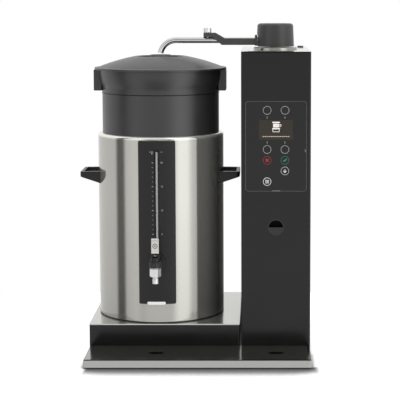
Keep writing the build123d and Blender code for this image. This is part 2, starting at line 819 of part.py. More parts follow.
# Plug on the column's top, in its seat
seat_bottom = column_top - plug_stem_length - plug_seat_wall
with BuildPart() as plug_seat:
    bar(seat_outer, (plug_x, plug_y, seat_bottom), (plug_x, plug_y, column_top))
    collar_top = column_top - plate_thickness
    collar_radius = seat_outer + plug_seat_flange
    bar(collar_radius, (plug_x, plug_y, collar_top - plug_seat_wall), (plug_x, plug_y, collar_top))
    bore_bottom = seat_bottom + plug_seat_wall - seat_gap
    seat_bore = plug_stem_radius + run_gap
    bar(seat_bore, (plug_x, plug_y, bore_bottom), (plug_x, plug_y, column_top), Mode.SUBTRACT)

with BuildPart() as column_plug:
    head_bottom = column_top + seat_gap
    bar(plug_head_radius, (plug_x, plug_y, head_bottom), (plug_x, plug_y, head_bottom + plug_head_height))
    fillet(column_plug.edges().group_by(Axis.Z)[-1], plug_head_height / 3)
    bar(plug_stem_radius, (plug_x, plug_y, head_bottom - plug_stem_length), (plug_x, plug_y, head_bottom))

# Drip tray with an inward rim, its pads and its lift-off plate
tray_width = body_width - 2 * tray_side_gap
tray_front = front_y - tray_depth
tray_y = (tray_front + front_y - tray_back_gap) / 2
pan_depth = tray_depth - tray_back_gap
plate_bottom = tray_height - tray_plate_thickness
tray_rim_top = plate_bottom - seat_gap
with BuildPart() as drip_tray:
    with BuildSketch(Plane.XY.offset(tray_pad_height)):
        with Locations((body_x, tray_y)):
            RectangleRounded(tray_width, pan_depth, tray_corner)
    extrude(amount=tray_rim_top - tray_pad_height)
    for inset, low, high in (
        (sheet, tray_pad_height + sheet, tray_rim_top - sheet),
        (tray_rim, tray_rim_top - sheet, tray_rim_top),
    ):
        with BuildSketch(Plane.XY.offset(low)):
            with Locations((body_x, tray_y)):
                RectangleRounded(tray_width - 2 * inset, pan_depth - 2 * inset, tray_corner - sheet)
        extrude(amount=high - low, mode=Mode.SUBTRACT)

with BuildPart() as tray_pads:
    with BuildSketch():
        with Locations((body_x, tray_y)):
            with GridLocations(tray_width - 2 * tray_pad_inset, pan_depth - 2 * tray_pad_inset, 2, 2):
                Circle(tray_pad_radius)
    extrude(amount=tray_pad_height)

with BuildPart() as tray_plate:
    with BuildSketch(Plane.XY.offset(plate_bottom)):
        with Locations((body_x, tray_y)):
            RectangleRounded(tray_width - 2 * tray_plate_inset, pan_depth - 2 * tray_plate_inset, tray_corner)
    extrude(amount=tray_plate_thickness)
    fillet(tray_plate.faces().sort_by(Axis.Z)[-1].edges(), plate_rounding)
    lip_inset = tray_rim + sheet
    lip = ring_outline(
        tray_width - 2 * lip_inset,
        pan_depth - 2 * lip_inset,
        sheet,
        body_x,
        tray_y,
        plate_bottom - tray_plate_lip,
    )
    extrude(lip, amount=tray_plate_lip)
    for x in (urn_x, column_x):
        dish = [
            (0, tray_height + cut_margin),
            (0, tray_height - drain_dish_depth),
            (drain_flat_radius, tray_height - drain_dish_depth),
            (drain_dish_radius, tray_height),
            (drain_dish_radius, tray_height + cut_margin),
        ]
        turned(dish, x, tray_y, mode=Mode.SUBTRACT)
        with BuildSketch(Plane.XY.offset(plate_bottom)):
            with Locations((x, tray_y)):
                SlotOverall(drain_slot_length, drain_slot_width)
        extrude(amount=tray_plate_thickness, mode=Mode.SUBTRACT)

# Urn: steel wall with rolled rim, inner vessel, insulation and foot
inner_wall = urn_radius - urn_wall
mouth_radius = vessel_radius - urn_wall
gauge_face = urn_radius + gauge_thickness
shank_inner = urn_y - vessel_radius + urn_wall + back_nut_width + shank_tail
shank_outer = tap_y + housing_neck_length
shank_hole = shank_radius + fit_gap
with BuildPart() as urn_shell:
    shell_points = [
        (urn_radius, shell_bottom),
        (urn_radius, urn_top),
        (mouth_radius, urn_top),
        (mouth_radius, urn_top - urn_wall),
        (inner_wall, urn_top - urn_wall),
        (inner_wall, shell_bottom),
    ]
    rim_inner = urn_rim_rounding - urn_wall
    turned(shell_points, urn_x, urn_y, rounding=[0, urn_rim_rounding, 0, 0, rim_inner, 0])
    bar(shank_hole, (urn_x, urn_y - vessel_radius, tap_z), (urn_x, tap_y, tap_z), Mode.SUBTRACT)

vessel_floor = tap_z - vessel_floor_drop
flange_top = urn_top - urn_wall
with BuildPart() as urn_vessel:
    with BuildSketch(upright(urn_x, urn_y)) as vessel_wall:
        with BuildLine():
            FilletPolyline(
                (0, vessel_floor),
                (vessel_radius, vessel_floor),
                (vessel_radius, flange_top),
                radius=vessel_floor_rounding,
            )
            Polyline((vessel_radius, flange_top), (mouth_radius, flange_top))
            FilletPolyline(
                (mouth_radius, flange_top),
                (mouth_radius, vessel_floor + urn_wall),
                (0, vessel_floor + urn_wall),
                radius=vessel_floor_rounding - urn_wall,
            )
            Line((0, vessel_floor + urn_wall), (0, vessel_floor))
        make_face()
    revolve(axis=Axis((urn_x, urn_y, 0), (0, 0, 1)))
    hanging_flange = [
        (vessel_radius - urn_wall / 2, flange_top - urn_wall),
        (vessel_radius + vessel_flange, flange_top - urn_wall),
        (vessel_radius + vessel_flange, flange_top),
        (vessel_radius - urn_wall / 2, flange_top),
    ]
    turned(hanging_flange, urn_x, urn_y)
    bar(shank_hole, (urn_x, shank_inner, tap_z), (urn_x, urn_y - urn_radius, tap_z), Mode.SUBTRACT)

with BuildPart() as urn_insulation:
    foam = [
        (vessel_radius + fit_gap, vessel_floor),
        (inner_wall - fit_gap, vessel_floor),
        (inner_wall - fit_gap, flange_top - urn_rim_rounding),
        (vessel_radius + vessel_flange, flange_top - urn_wall),
        (vessel_radius + fit_gap, flange_top - urn_wall),
    ]
    turned(foam, urn_x, urn_y)
    bar(shank_hole, (urn_x, shank_inner, tap_z), (urn_x, tap_y, tap_z), Mode.SUBTRACT)

with BuildPart() as urn_foot:
    spigot_top = shell_bottom + urn_foot_spigot_height
    foot_points = [
        (0, urn_bottom),
        (urn_radius - urn_foot_recess, urn_bottom),
        (urn_radius - urn_foot_recess, shell_bottom),
        (inner_wall - fit_gap, shell_bottom),
        (inner_wall - fit_gap, spigot_top),
        (inner_wall - urn_foot_spigot_width, spigot_top),
        (inner_wall - urn_foot_spigot_width, shell_bottom),
        (0, shell_bottom),
    ]
    turned(foot_points, urn_x, urn_y)


def urn_handle(side):
    """Open handle on the urn's left (-1) or right (+1): two tapered arms and an outer bar."""
    top = base_height + handle_top
    tip = urn_radius + handle_reach
    root = sqrt(urn_radius**2 - (handle_length / 2) ** 2) - handle_arm / 2
    bar_top = top - handle_bar_drop
    with BuildPart() as handle:
        with BuildSketch(upright(urn_x, urn_y)):
            with BuildLine():
                Polyline(
                    (side * root, top - handle_wall_height),
                    (side * tip, bar_top - handle_bar_height),
                    (side * tip, bar_top),
                    (side * root, top),
                    close=True,
                )
            make_face()
        extrude(amount=handle_length / 2, both=True)
        corners = handle.edges().filter_by(Axis.Z).group_by(Axis.X)[0 if side < 0 else -1]
        fillet(corners, handle_corner)
        reach = handle.edges().filter_by(Axis.Y).group_by(Axis.X)[0 if side < 0 else -1]
        fillet(reach, handle_edge)
        with BuildSketch(Plane.XY.offset(base_height)):
            with Locations((urn_x, urn_y)):
                Circle(urn_radius)
            inner_tip = tip - handle_bar
            with Locations((urn_x + side * inner_tip / 2, urn_y)):
                Rectangle(inner_tip, handle_length - 2 * handle_arm)
        extrude(amount=urn_height, mode=Mode.SUBTRACT)
    return handle


left_handle = urn_handle(-1)
right_handle = urn_handle(1)

# Sight gauge: curved moulding with a slot for the glass
gauge_bottom = base_height + gauge_bottom_margin
gauge_top = urn_top - gauge_top_margin
slot_bottom = tap_z + gauge_slot_bottom
tube_y = urn_y - urn_radius - gauge_back_gap - gauge_tube_diameter / 2
tube_top = urn_top - gauge_tube_top_margin
tube_bottom = tap_z + shank_radius + gauge_seal_height - gauge_seal_grip
tube_radius = gauge_tube_diameter / 2
low_seal = tap_z + shank_radius + fit_gap
high_seal = tube_top - gauge_seal_grip
with BuildPart() as gauge_panel:
    with BuildSketch(Plane.XY.offset(gauge_bottom)):
        with Locations((urn_x, urn_y)):
            Circle(gauge_face)
            Circle(urn_radius, mode=Mode.SUBTRACT)
    extrude(amount=gauge_top - gauge_bottom)
    with BuildSketch(upright(urn_x, urn_y)):
        with Locations((0, (gauge_top + gauge_bottom) / 2)):
            RectangleRounded(gauge_width, gauge_top - gauge_bottom, gauge_corner)
    extrude(amount=gauge_face + cut_margin, mode=Mode.INTERSECT)
    block(
        (urn_x - gauge_slot_width / 2, urn_y - gauge_face, slot_bottom),
        (urn_x + gauge_slot_width / 2, urn_y - urn_radius, tube_top),
        Mode.SUBTRACT,
    )
    pocket = gauge_seal_radius + fit_gap
    bar(pocket, (urn_x, tube_y, tap_z), (urn_x, tube_y, slot_bottom), Mode.SUBTRACT)
    seal_top = high_seal + gauge_seal_height
    bar(pocket, (urn_x, tube_y, high_seal), (urn_x, tube_y, seal_top), Mode.SUBTRACT)
    bar(shank_hole, (urn_x, urn_y - vessel_radius, tap_z), (urn_x, tap_y, tap_z), Mode.SUBTRACT)

with BuildPart() as gauge_tube:
    bar(tube_radius, (urn_x, tube_y, tube_bottom), (urn_x, tube_y, tube_top))
    tube_bore = tube_radius - gauge_tube_wall
    bar(tube_bore, (urn_x, tube_y, tube_bottom), (urn_x, tube_y, tube_top), Mode.SUBTRACT)

with BuildPart() as gauge_seals:
    bar(gauge_seal_radius, (urn_x, tube_y, low_seal), (urn_x, tube_y, low_seal + gauge_seal_height))
    bar(gauge_seal_radius, (urn_x, tube_y, high_seal), (urn_x, tube_y, seal_top))
    bar(tube_radius, (urn_x, tube_y, tube_bottom), (urn_x, tube_y, tube_top), Mode.SUBTRACT)

# Tap: shank through the urn's walls, with a nut on each side
with BuildPart() as tap_shank:
    bar(shank_radius, (urn_x, shank_inner, tap_z), (urn_x, shank_outer, tap_z))
    bar(shank_bore, (urn_x, shank_inner, tap_z), (urn_x, shank_outer, tap_z), Mode.SUBTRACT)

with BuildPart() as tap_wall_nut:
    nut_back = urn_y - gauge_face
    bar(wall_nut_radius, (urn_x, nut_back, tap_z), (urn_x, nut_back - wall_nut_width, tap_z))
    fillet(tap_wall_nut.edges().group_by(Axis.Y)[0], wall_nut_rounding)
    bar(shank_hole, (urn_x, nut_back, tap_z), (urn_x, tap_y, tap_z), Mode.SUBTRACT)

with BuildPart() as tap_back_nut:
    wall_bow = mouth_radius - sqrt(mouth_radius**2 - back_nut_radius**2)
    nut_face = urn_y - mouth_radius + wall_bow + fit_gap
    bar(back_nut_radius, (urn_x, nut_face, tap_z), (urn_x, nut_face + back_nut_width, tap_z))
    bar(shank_hole, (urn_x, urn_y - urn_radius, tap_z), (urn_x, urn_y, tap_z), Mode.SUBTRACT)

# Tap housing: ring-shaped barrel with a neck to the shank and a web that guides the stem
housing_bottom = tap_z + housing_rise - housing_height / 2
housing_top = housing_bottom + housing_height
spigot_bottom = housing_bottom - housing_spigot_height
spigot_top = housing_top + housing_spigot_height
guide_bottom = housing_top - guide_web
with BuildPart() as tap_housing:
    bar(housing_radius, (urn_x, tap_y, housing_bottom), (urn_x, tap_y, housing_top))
    fillet(tap_housing.edges().filter_by(GeomType.CIRCLE), plate_rounding)
    bar(housing_spigot, (urn_x, tap_y, spigot_bottom), (urn_x, tap_y, spigot_top))
    neck_z = housing_bottom + housing_height / 2
    bar(housing_neck_radius, (urn_x, tap_y, neck_z), (urn_x, shank_outer, neck_z))
    bar(housing_chamber, (urn_x, tap_y, spigot_bottom), (urn_x, tap_y, guide_bottom), Mode.SUBTRACT)
    bar(housing_chamber, (urn_x, tap_y, housing_top), (urn_x, tap_y, spigot_top), Mode.SUBTRACT)
    guide_bore = stem_radius + run_gap
    bar(guide_bore, (urn_x, tap_y, guide_bottom), (urn_x, tap_y, housing_top), Mode.SUBTRACT)
    neck_bore = housing_neck_radius / 2
    bar(neck_bore, (urn_x, tap_y, neck_z), (urn_x, shank_outer, neck_z), Mode.SUBTRACT)

# Nozzle: hexagon that screws onto the housing, waisted into the spout
hex_bottom = housing_bottom - nozzle_hex_height
nozzle_seat = hex_bottom + nozzle_seat_height
nozzle_tip = hex_bottom - nozzle_length
with BuildPart() as tap_nozzle:
    hexagon(nozzle_hex_radius, (urn_x, tap_y, hex_bottom), (urn_x, tap_y, housing_bottom))
    waist = hex_bottom - nozzle_throat_drop
    spout = [
        (0, hex_bottom),
        (nozzle_hex_radius * sqrt(3) / 2, hex_bottom),
        (nozzle_throat_radius, waist),
        (nozzle_lip_radius, waist - nozzle_throat_drop),
        (nozzle_lip_radius, nozzle_tip),
        (0, nozzle_tip),
    ]
    turned(spout, urn_x, tap_y)
    fillet(tap_nozzle.edges().group_by(Axis.Z)[0], plate_rounding)
    bar(nozzle_bore, (urn_x, tap_y, nozzle_tip), (urn_x, tap_y, nozzle_seat), Mode.SUBTRACT)
    bar(housing_chamber, (urn_x, tap_y, nozzle_seat), (urn_x, tap_y, housing_bottom), Mode.SUBTRACT)
    socket = housing_spigot + fit_gap
    bar(socket, (urn_x, tap_y, spigot_bottom), (urn_x, tap_y, housing_bottom), Mode.SUBTRACT)

# Bonnet: cap over the spring, with two ears for the lever's pin
web_bottom = housing_top + bonnet_height - bonnet_web
web_top = housing_top + bonnet_height
pivot_z = web_top + lever_pivot_rise
pivot_y = tap_y - lever_crank
with BuildPart() as tap_bonnet:
    bar(bonnet_radius, (urn_x, tap_y, housing_top), (urn_x, tap_y, web_top))
    bar(socket, (urn_x, tap_y, housing_top), (urn_x, tap_y, spigot_top), Mode.SUBTRACT)
    bar(housing_chamber, (urn_x, tap_y, spigot_top), (urn_x, tap_y, web_bottom), Mode.SUBTRACT)
    bar(stem_radius + fit_gap, (urn_x, tap_y, web_bottom), (urn_x, tap_y, web_top), Mode.SUBTRACT)
    for side in (-1, 1):
        with BuildSketch(Plane.XY.offset(web_bottom)):
            with Locations((urn_x + side * (ear_slot + ear_width) / 2, tap_y + (ear_back - ear_front) / 2)):
                RectangleRounded(ear_width, ear_front + ear_back, ear_width / 3)
        extrude(amount=bonnet_web + ear_height)
    ear_span = ear_slot / 2 + ear_width
    bar(
        lever_pin_radius,
        (urn_x - ear_span, pivot_y, pivot_z),
        (urn_x + ear_span, pivot_y, pivot_z),
        Mode.SUBTRACT,
    )

with BuildPart() as lever_pin:
    bar(lever_pin_radius, (urn_x - ear_span, pivot_y, pivot_z), (urn_x + ear_span, pivot_y, pivot_z))

# Lever: light paddle on two cheeks, whose crank pin lifts the stem
cheek_outer = ear_slot / 2 - lever_cheek_gap
cheek_inner = cheek_outer - lever_cheek
paddle_bottom = pivot_z + lever_foot_rise
side_plane = Plane((urn_x, pivot_y, pivot_z), x_dir=(0, 1, 0), z_dir=(1, 0, 0))
with BuildPart() as tap_lever:
    with BuildSketch(side_plane):
        Circle(lever_boss)
        with Locations((lever_crank / 2, 0)):
            SlotOverall(lever_crank + 2 * lever_boss, 2 * lever_boss)
        with Locations((0, lever_foot_rise / 2 + lever_edge)):
            Rectangle(2 * lever_boss, lever_foot_rise + 2 * lever_edge)
    extrude(amount=cheek_outer, both=True)
    block(
        (urn_x - cheek_inner, pivot_y - 2 * lever_boss, pivot_z - 2 * lever_boss),
        (urn_x + cheek_inner, tap_y + 2 * lever_boss, paddle_bottom),
        Mode.SUBTRACT,
    )
    with BuildSketch(Plane.XY.offset(paddle_bottom)):
        with Locations((urn_x, pivot_y)):
            RectangleRounded(lever_width, lever_depth, lever_edge)
    extrude(amount=lever_height)
    fillet(tap_lever.faces().sort_by(Axis.Z)[-1].edges(), lever_edge)
    bar(lever_pin_radius, (urn_x - cheek_outer, tap_y, pivot_z), (urn_x + cheek_outer, tap_y, pivot_z))
    pin_hole = lever_pin_radius + run_gap
    bar(pin_hole, (urn_x - ear_span, pivot_y, pivot_z), (urn_x + ear_span, pivot_y, pivot_z), Mode.SUBTRACT)

# Valve stem with its soft seat and closing spring
seat_bottom = nozzle_seat + seat_gap
seat_top = seat_bottom + seat_height
seat_middle = (seat_bottom + seat_top) / 2
collar_bottom = housing_top + seat_gap
collar_top = collar_bottom + stem_collar_height
with BuildPart() as tap_stem:
    bar(stem_radius, (urn_x, tap_y, seat_middle), (urn_x, tap_y, pivot_z))
    bar(stem_collar_radius, (urn_x, tap_y, collar_bottom), (urn_x, tap_y, collar_top))
    half = stem_head_width / 2
    block(
        (urn_x - half, tap_y - stem_head_front, pivot_z - stem_head_half_height),
        (urn_x + half, tap_y + stem_head_back, pivot_z + stem_head_half_height),
    )
    eye = lever_pin_radius + seat_gap
    block(
        (urn_x - half, tap_y - eye - stem_eye_play, pivot_z - eye),
        (urn_x + half, tap_y + eye, pivot_z + eye),
        Mode.SUBTRACT,
    )

with BuildPart() as tap_seat:
    bar(seat_radius, (urn_x, tap_y, seat_bottom), (urn_x, tap_y, seat_top))
    fillet(tap_seat.edges().group_by(Axis.Z)[0], seat_height / 4)
    bar(stem_radius, (urn_x, tap_y, seat_middle), (urn_x, tap_y, seat_top), Mode.SUBTRACT)

with BuildPart() as tap_spring:
    spring_low = collar_top + spring_wire / 2 + fit_gap
    spring_high = web_bottom - spring_wire / 2 - fit_gap
    pitch = (spring_high - spring_low) / spring_turns
    with BuildLine() as coil:
        Helix(pitch, spring_high - spring_low, spring_radius, center=(urn_x, tap_y, spring_low))
    with BuildSketch(Plane(origin=coil.wire() @ 0, z_dir=coil.wire() % 0)):
        Circle(spring_wire / 2)
    sweep(path=coil.wire())

# Filter pan: drum with a seam, a flared collar, grip ears and a floor that falls to the drain
pan_seam = urn_top + pan_seam_height
flare_start = pan_seam + pan_collar_straight
pan_inner = pan_radius - pan_wall
floor_edge = urn_top + pan_floor_rise
floor_drain = floor_edge - pan_floor_fall
spigot_outer = mouth_radius - pan_spigot_gap
spigot_inner = spigot_outer - pan_wall
floor_slope = pan_floor_fall / (pan_inner - pan_drain_radius)
spigot_roof = floor_edge - floor_slope * (pan_inner - spigot_inner) - pan_floor_thickness
with BuildPart() as filter_pan:
    with BuildSketch(upright(urn_x, urn_y)):
        with BuildLine():
            Polyline(
                (0, pan_top),
                (0, pan_bottom),
                (pan_radius, pan_bottom),
                (pan_radius, pan_seam),
                (pan_radius + pan_collar_step, pan_seam),
                (pan_radius + pan_collar_step, flare_start),
            )
            flare = ((pan_radius + pan_collar_step, flare_start), (pan_top_radius, pan_top))
            SagittaArc(*flare, -pan_collar_bulge)
            Line((pan_top_radius, pan_top), (0, pan_top))
        make_face()
    revolve(axis=Axis((urn_x, urn_y, 0), (0, 0, 1)))
    ear_mid = (pan_radius + ear_tip) / 2
    for side in (-1, 1):
        with BuildSketch(upright(urn_x, urn_y)) as ear:
            with Locations((side * ear_mid, pan_top - pan_ear_height / 2)):
                Rectangle(ear_tip - pan_radius, pan_ear_height)
            outer = ear.vertices().group_by(Axis.X)[0 if side < 0 else -1]
            fillet(outer.group_by(Axis.Z)[0], pan_ear_rounding)
        extrude(ear.sketch, amount=pan_ear_length / 2, both=True)
    drum_inside = [
        (0, floor_drain),
        (pan_drain_radius, floor_drain),
        (pan_inner, floor_edge),
        (pan_inner, flare_start),
        (pan_top_radius - pan_wall, pan_top),
        (0, pan_top),
    ]
    turned(drum_inside, urn_x, urn_y, mode=Mode.SUBTRACT)
    spigot = [
        (spigot_inner, urn_top - pan_spigot_depth),
        (spigot_outer, urn_top - pan_spigot_depth),
        (spigot_outer, pan_bottom + pan_floor_thickness),
        (spigot_inner, pan_bottom + pan_floor_thickness),
    ]
    turned(spigot, urn_x, urn_y)
    drain_lip = floor_drain - pan_floor_thickness
    funnel = [
        (pan_drain_radius, floor_drain),
        (pan_drain_radius, drain_lip),
        (spigot_outer, spigot_roof),
        (spigot_outer, spigot_roof + pan_floor_thickness),
    ]
    turned(funnel, urn_x, urn_y)
    below_funnel = [
        (0, urn_top - pan_spigot_depth),
        (spigot_inner, urn_top - pan_spigot_depth),
        (spigot_inner, spigot_roof),
        (pan_drain_radius, drain_lip),
        (0, drain_lip),
    ]
    turned(below_funnel, urn_x, urn_y, mode=Mode.SUBTRACT)
    drain_hole = (urn_x, urn_y, drain_lip)
    bar(pan_drain_radius, drain_hole, (urn_x, urn_y, floor_edge), Mode.SUBTRACT)

basket_radius = pan_inner - basket_gap
basket_bottom = floor_edge - floor_slope * basket_gap + seat_gap
with BuildPart() as filter_basket:
    basket_top = basket_bottom + basket_height
    basket_points = [
        (0, basket_bottom),
        (basket_radius, basket_bottom),
        (basket_radius, basket_top - basket_rim),
        (basket_radius + basket_rim, basket_top - basket_rim),
        (basket_radius + basket_rim, basket_top),
        (basket_radius - basket_wall, basket_top),
        (basket_radius - basket_wall, basket_bottom + basket_wall),
        (0, basket_bottom + basket_wall),
    ]
    turned(basket_points, urn_x, urn_y)
    with BuildSketch(Plane.XY.offset(basket_bottom)):
        for share, count in ((0.25, 6), (0.5, 12), (0.75, 18)):
            with Locations((urn_x, urn_y)):
                with PolarLocations(share * basket_radius, count):
                    Circle(basket_hole_radius)
    extrude(amount=basket_wall, mode=Mode.SUBTRACT)

# Lid: dome on a flat rim, with a dish in the middle
ledge_top = lid_top - lid_dish_depth
throat_radius = lid_ring_radius - lid_ring_width
skirt_outer = pan_top_radius - pan_wall - lid_skirt_gap
rim_top = lid_bottom + lid_flange
dome_radius = lid_radius - lid_rim_width
with BuildPart() as lid:
    with BuildSketch(upright(urn_x, urn_y)) as section:
        with BuildLine():
            Polyline((lid_radius, lid_bottom), (lid_radius, rim_top), (dome_radius, rim_top))
            SagittaArc((dome_radius, rim_top), (lid_ring_radius, lid_top), -lid_bulge)
            Polyline(
                (lid_ring_radius, lid_top),
                (throat_radius, lid_top),
                (lid_dish_radius, ledge_top),
                (lid_dish_radius - lid_ledge, ledge_top),
                (lid_dish_radius - lid_ledge, ledge_top - lid_wall),
                (lid_dish_radius + lid_wall, ledge_top - lid_wall),
                (throat_radius + lid_wall, lid_top - 2 * lid_wall),
            )
            SagittaArc(
                (throat_radius + lid_wall, lid_top - 2 * lid_wall),
                (skirt_outer - lid_wall, lid_bottom + lid_wall),
                lid_bulge - lid_wall / 2,
            )
            Polyline(
                (skirt_outer - lid_wall, lid_bottom + lid_wall),
                (skirt_outer - lid_wall, lid_bottom - lid_skirt_depth),
                (skirt_outer, lid_bottom - lid_skirt_depth),
                (skirt_outer, lid_bottom),
                (lid_radius, lid_bottom),
            )
        make_face()
        fillet(section.vertices().group_by(Axis.X)[-1], lid_rim_rounding)
    revolve(axis=Axis((urn_x, urn_y, 0), (0, 0, 1)))

with BuildPart() as spray_plate:
    with BuildSketch(Plane.XY.offset(ledge_top)):
        with Locations((urn_x, urn_y)):
            Circle(lid_dish_radius - fit_gap)
            Circle(spray_hole_radius, mode=Mode.SUBTRACT)
            for share, count in ((0.3, 6), (0.6, 12), (0.85, 18)):
                with PolarLocations(share * lid_dish_radius, count):
                    Circle(spray_hole_radius, mode=Mode.SUBTRACT)
    extrude(amount=spray_thickness)
    cup_inner = cup_radius - spray_thickness
    cup_top = lid_top + cup_rise
    cup_wall = [(cup_inner, ledge_top), (cup_radius, ledge_top), (cup_radius, cup_top), (cup_inner, cup_top)]
    turned(cup_wall, urn_x, urn_y)

pieces = {
    "chassis": chassis,
    "feet": feet,
    "base_skirt": base_skirt,
    "base_top_plate": base_top_plate,
    "column_casing": column_casing,
    "rear_cover": rear_cover,
    "rear_cover_screws": rear_cover_screws,
    "column_top_plate": column_top_plate,
    "control_panel": control_panel,
    "display_window": display_window,
    "display_module": display_module,
    "control_board": control_board,
    "finger_pull": finger_pull,
    "boiler": boiler,
    "boiler_stand": boiler_stand,
    "heating_element": heating_element,
    "riser_pipe": riser_pipe,
    "inlet_valve": inlet_valve,
    "valve_coil": valve_coil,
    "inlet_pipe": inlet_pipe,
    "cable_gland": cable_gland,
    "gland_nut": gland_nut,
    "swivel_flange": swivel_flange,
    "swivel_bush": swivel_bush,
    "swivel_stem": swivel_stem,
    "swivel_seals": swivel_seals,
    "swivel_cap": swivel_cap,
    "outlet_pipe": outlet_pipe,
    "grip_arm": grip_arm,
    "thumb_nut": thumb_nut,
    "plug_seat": plug_seat,
    "column_plug": column_plug,
    "drip_tray": drip_tray,
    "tray_pads": tray_pads,
    "tray_plate": tray_plate,
    "urn_shell": urn_shell,
    "urn_vessel": urn_vessel,
    "urn_insulation": urn_insulation,
    "urn_foot": urn_foot,
    "left_handle": left_handle,
    "right_handle": right_handle,
    "gauge_panel": gauge_panel,
    "gauge_tube": gauge_tube,
    "gauge_seals": gauge_seals,
    "tap_shank": tap_shank,
    "tap_wall_nut": tap_wall_nut,
    "tap_back_nut": tap_back_nut,
    "tap_housing": tap_housing,
    "tap_nozzle": tap_nozzle,
    "tap_bonnet": tap_bonnet,
    "lever_pin": lever_pin,
    "tap_lever": tap_lever,
    "tap_stem": tap_stem,
    "tap_seat": tap_seat,
    "tap_spring": tap_spring,
    "filter_pan": filter_pan,
    "filter_basket": filter_basket,
    "lid": lid,
    "spray_plate": spray_plate,
}
for name, piece in pieces.items():
    piece.part.label = name
    export_step(piece.part, f"parts/{name}.step")
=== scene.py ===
"""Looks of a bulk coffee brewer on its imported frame: finishes, printed marks, tap, light and camera."""

import math

import bmesh
import bpy
from mathutils import Euler, Matrix, Vector


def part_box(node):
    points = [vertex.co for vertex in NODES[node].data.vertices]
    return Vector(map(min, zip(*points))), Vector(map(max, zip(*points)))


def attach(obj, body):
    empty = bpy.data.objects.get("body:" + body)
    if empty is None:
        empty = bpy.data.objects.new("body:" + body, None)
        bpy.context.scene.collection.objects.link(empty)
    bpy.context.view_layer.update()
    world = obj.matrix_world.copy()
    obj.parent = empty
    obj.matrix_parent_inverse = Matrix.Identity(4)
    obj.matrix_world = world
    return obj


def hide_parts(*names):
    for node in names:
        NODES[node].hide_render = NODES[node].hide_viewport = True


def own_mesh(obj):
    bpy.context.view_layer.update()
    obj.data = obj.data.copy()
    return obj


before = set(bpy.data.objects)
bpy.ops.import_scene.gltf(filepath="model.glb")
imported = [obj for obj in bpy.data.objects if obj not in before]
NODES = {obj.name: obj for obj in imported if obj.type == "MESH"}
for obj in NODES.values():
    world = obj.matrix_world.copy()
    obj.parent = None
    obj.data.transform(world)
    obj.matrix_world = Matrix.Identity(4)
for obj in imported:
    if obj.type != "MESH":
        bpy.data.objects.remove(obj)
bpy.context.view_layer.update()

bl_info = {
    "name": "Coffee Brewer Looks",
    "version": (1, 0, 0),
    "blender": (4, 5, 0),
    "location": "View3D > Sidebar > Brewer",
    "description": "Dresses the packed coffee brewer with finishes, printed marks, a studio and a camera",
    "category": "Object",
}

MM = 0.001
SHEET_GRAIN = (6.0, 900.0, 900.0)
ROUND_GRAIN = (9.0, 1.0, 1500.0)


def middle(node):
    """Centre of a solid's box."""
    low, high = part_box(node)
    return (low + high) / 2


URN_LOW, URN_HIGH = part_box("urn_shell")
URN_AXIS = middle("urn_shell")
URN_RADIUS = (URN_HIGH.x - URN_LOW.x) / 2
GAUGE_LOW, GAUGE_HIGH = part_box("gauge_panel")
GAUGE_RADIUS = URN_AXIS.y - GAUGE_LOW.y
PANEL_LOW, PANEL_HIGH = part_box("control_panel")
PANEL_X = middle("control_panel").x
PANEL_FACE = (PANEL_X, PANEL_LOW.y)
WINDOW_FACE = (PANEL_X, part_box("display_window")[0].y)
LEVER_LOW, LEVER_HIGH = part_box("tap_lever")
TAP_AXIS = middle("tap_nozzle")


class BrewerFinishes(bpy.types.PropertyGroup):
    """Colours of the brewer's surfaces."""

    paint: bpy.props.FloatVectorProperty(
        name="Paint", description="Black coating of the base and the column", subtype="COLOR",
        default=(0.006, 0.006, 0.006), min=0, max=1)
    moulding: bpy.props.FloatVectorProperty(
        name="Moulding", description="Black plastic of filter, lid, knob and handles", subtype="COLOR",
        default=(0.015, 0.015, 0.015), min=0, max=1)
    steel: bpy.props.FloatVectorProperty(
        name="Steel", description="Brushed stainless steel", subtype="COLOR",
        default=(0.5, 0.495, 0.46), min=0, max=1)
    chrome: bpy.props.FloatVectorProperty(
        name="Chrome", description="Plated pipe, nut and nozzle", subtype="COLOR",
        default=(0.86, 0.86, 0.85), min=0, max=1)
    lever: bpy.props.FloatVectorProperty(
        name="Lever", description="Light plastic of the tap's paddle", subtype="COLOR",
        default=(0.67, 0.66, 0.625), min=0, max=1)
    overlay: bpy.props.FloatVectorProperty(
        name="Overlay", description="Dark film of the touch panel", subtype="COLOR",
        default=(0.008, 0.008, 0.009), min=0, max=1)
    marks: bpy.props.FloatVectorProperty(
        name="Marks", description="Light print on panel and gauge", subtype="COLOR",
        default=(0.42, 0.42, 0.41), min=0, max=1)
    screen: bpy.props.FloatVectorProperty(
        name="Screen", description="Dark glow of the display", subtype="COLOR",
        default=(0.022, 0.015, 0.007), min=0, max=1)
    cancel: bpy.props.FloatVectorProperty(
        name="Cancel", description="Red key", subtype="COLOR", default=(0.26, 0.03, 0.035), min=0, max=1)
    confirm: bpy.props.FloatVectorProperty(
        name="Confirm", description="Green key", subtype="COLOR", default=(0.025, 0.17, 0.1), min=0, max=1)


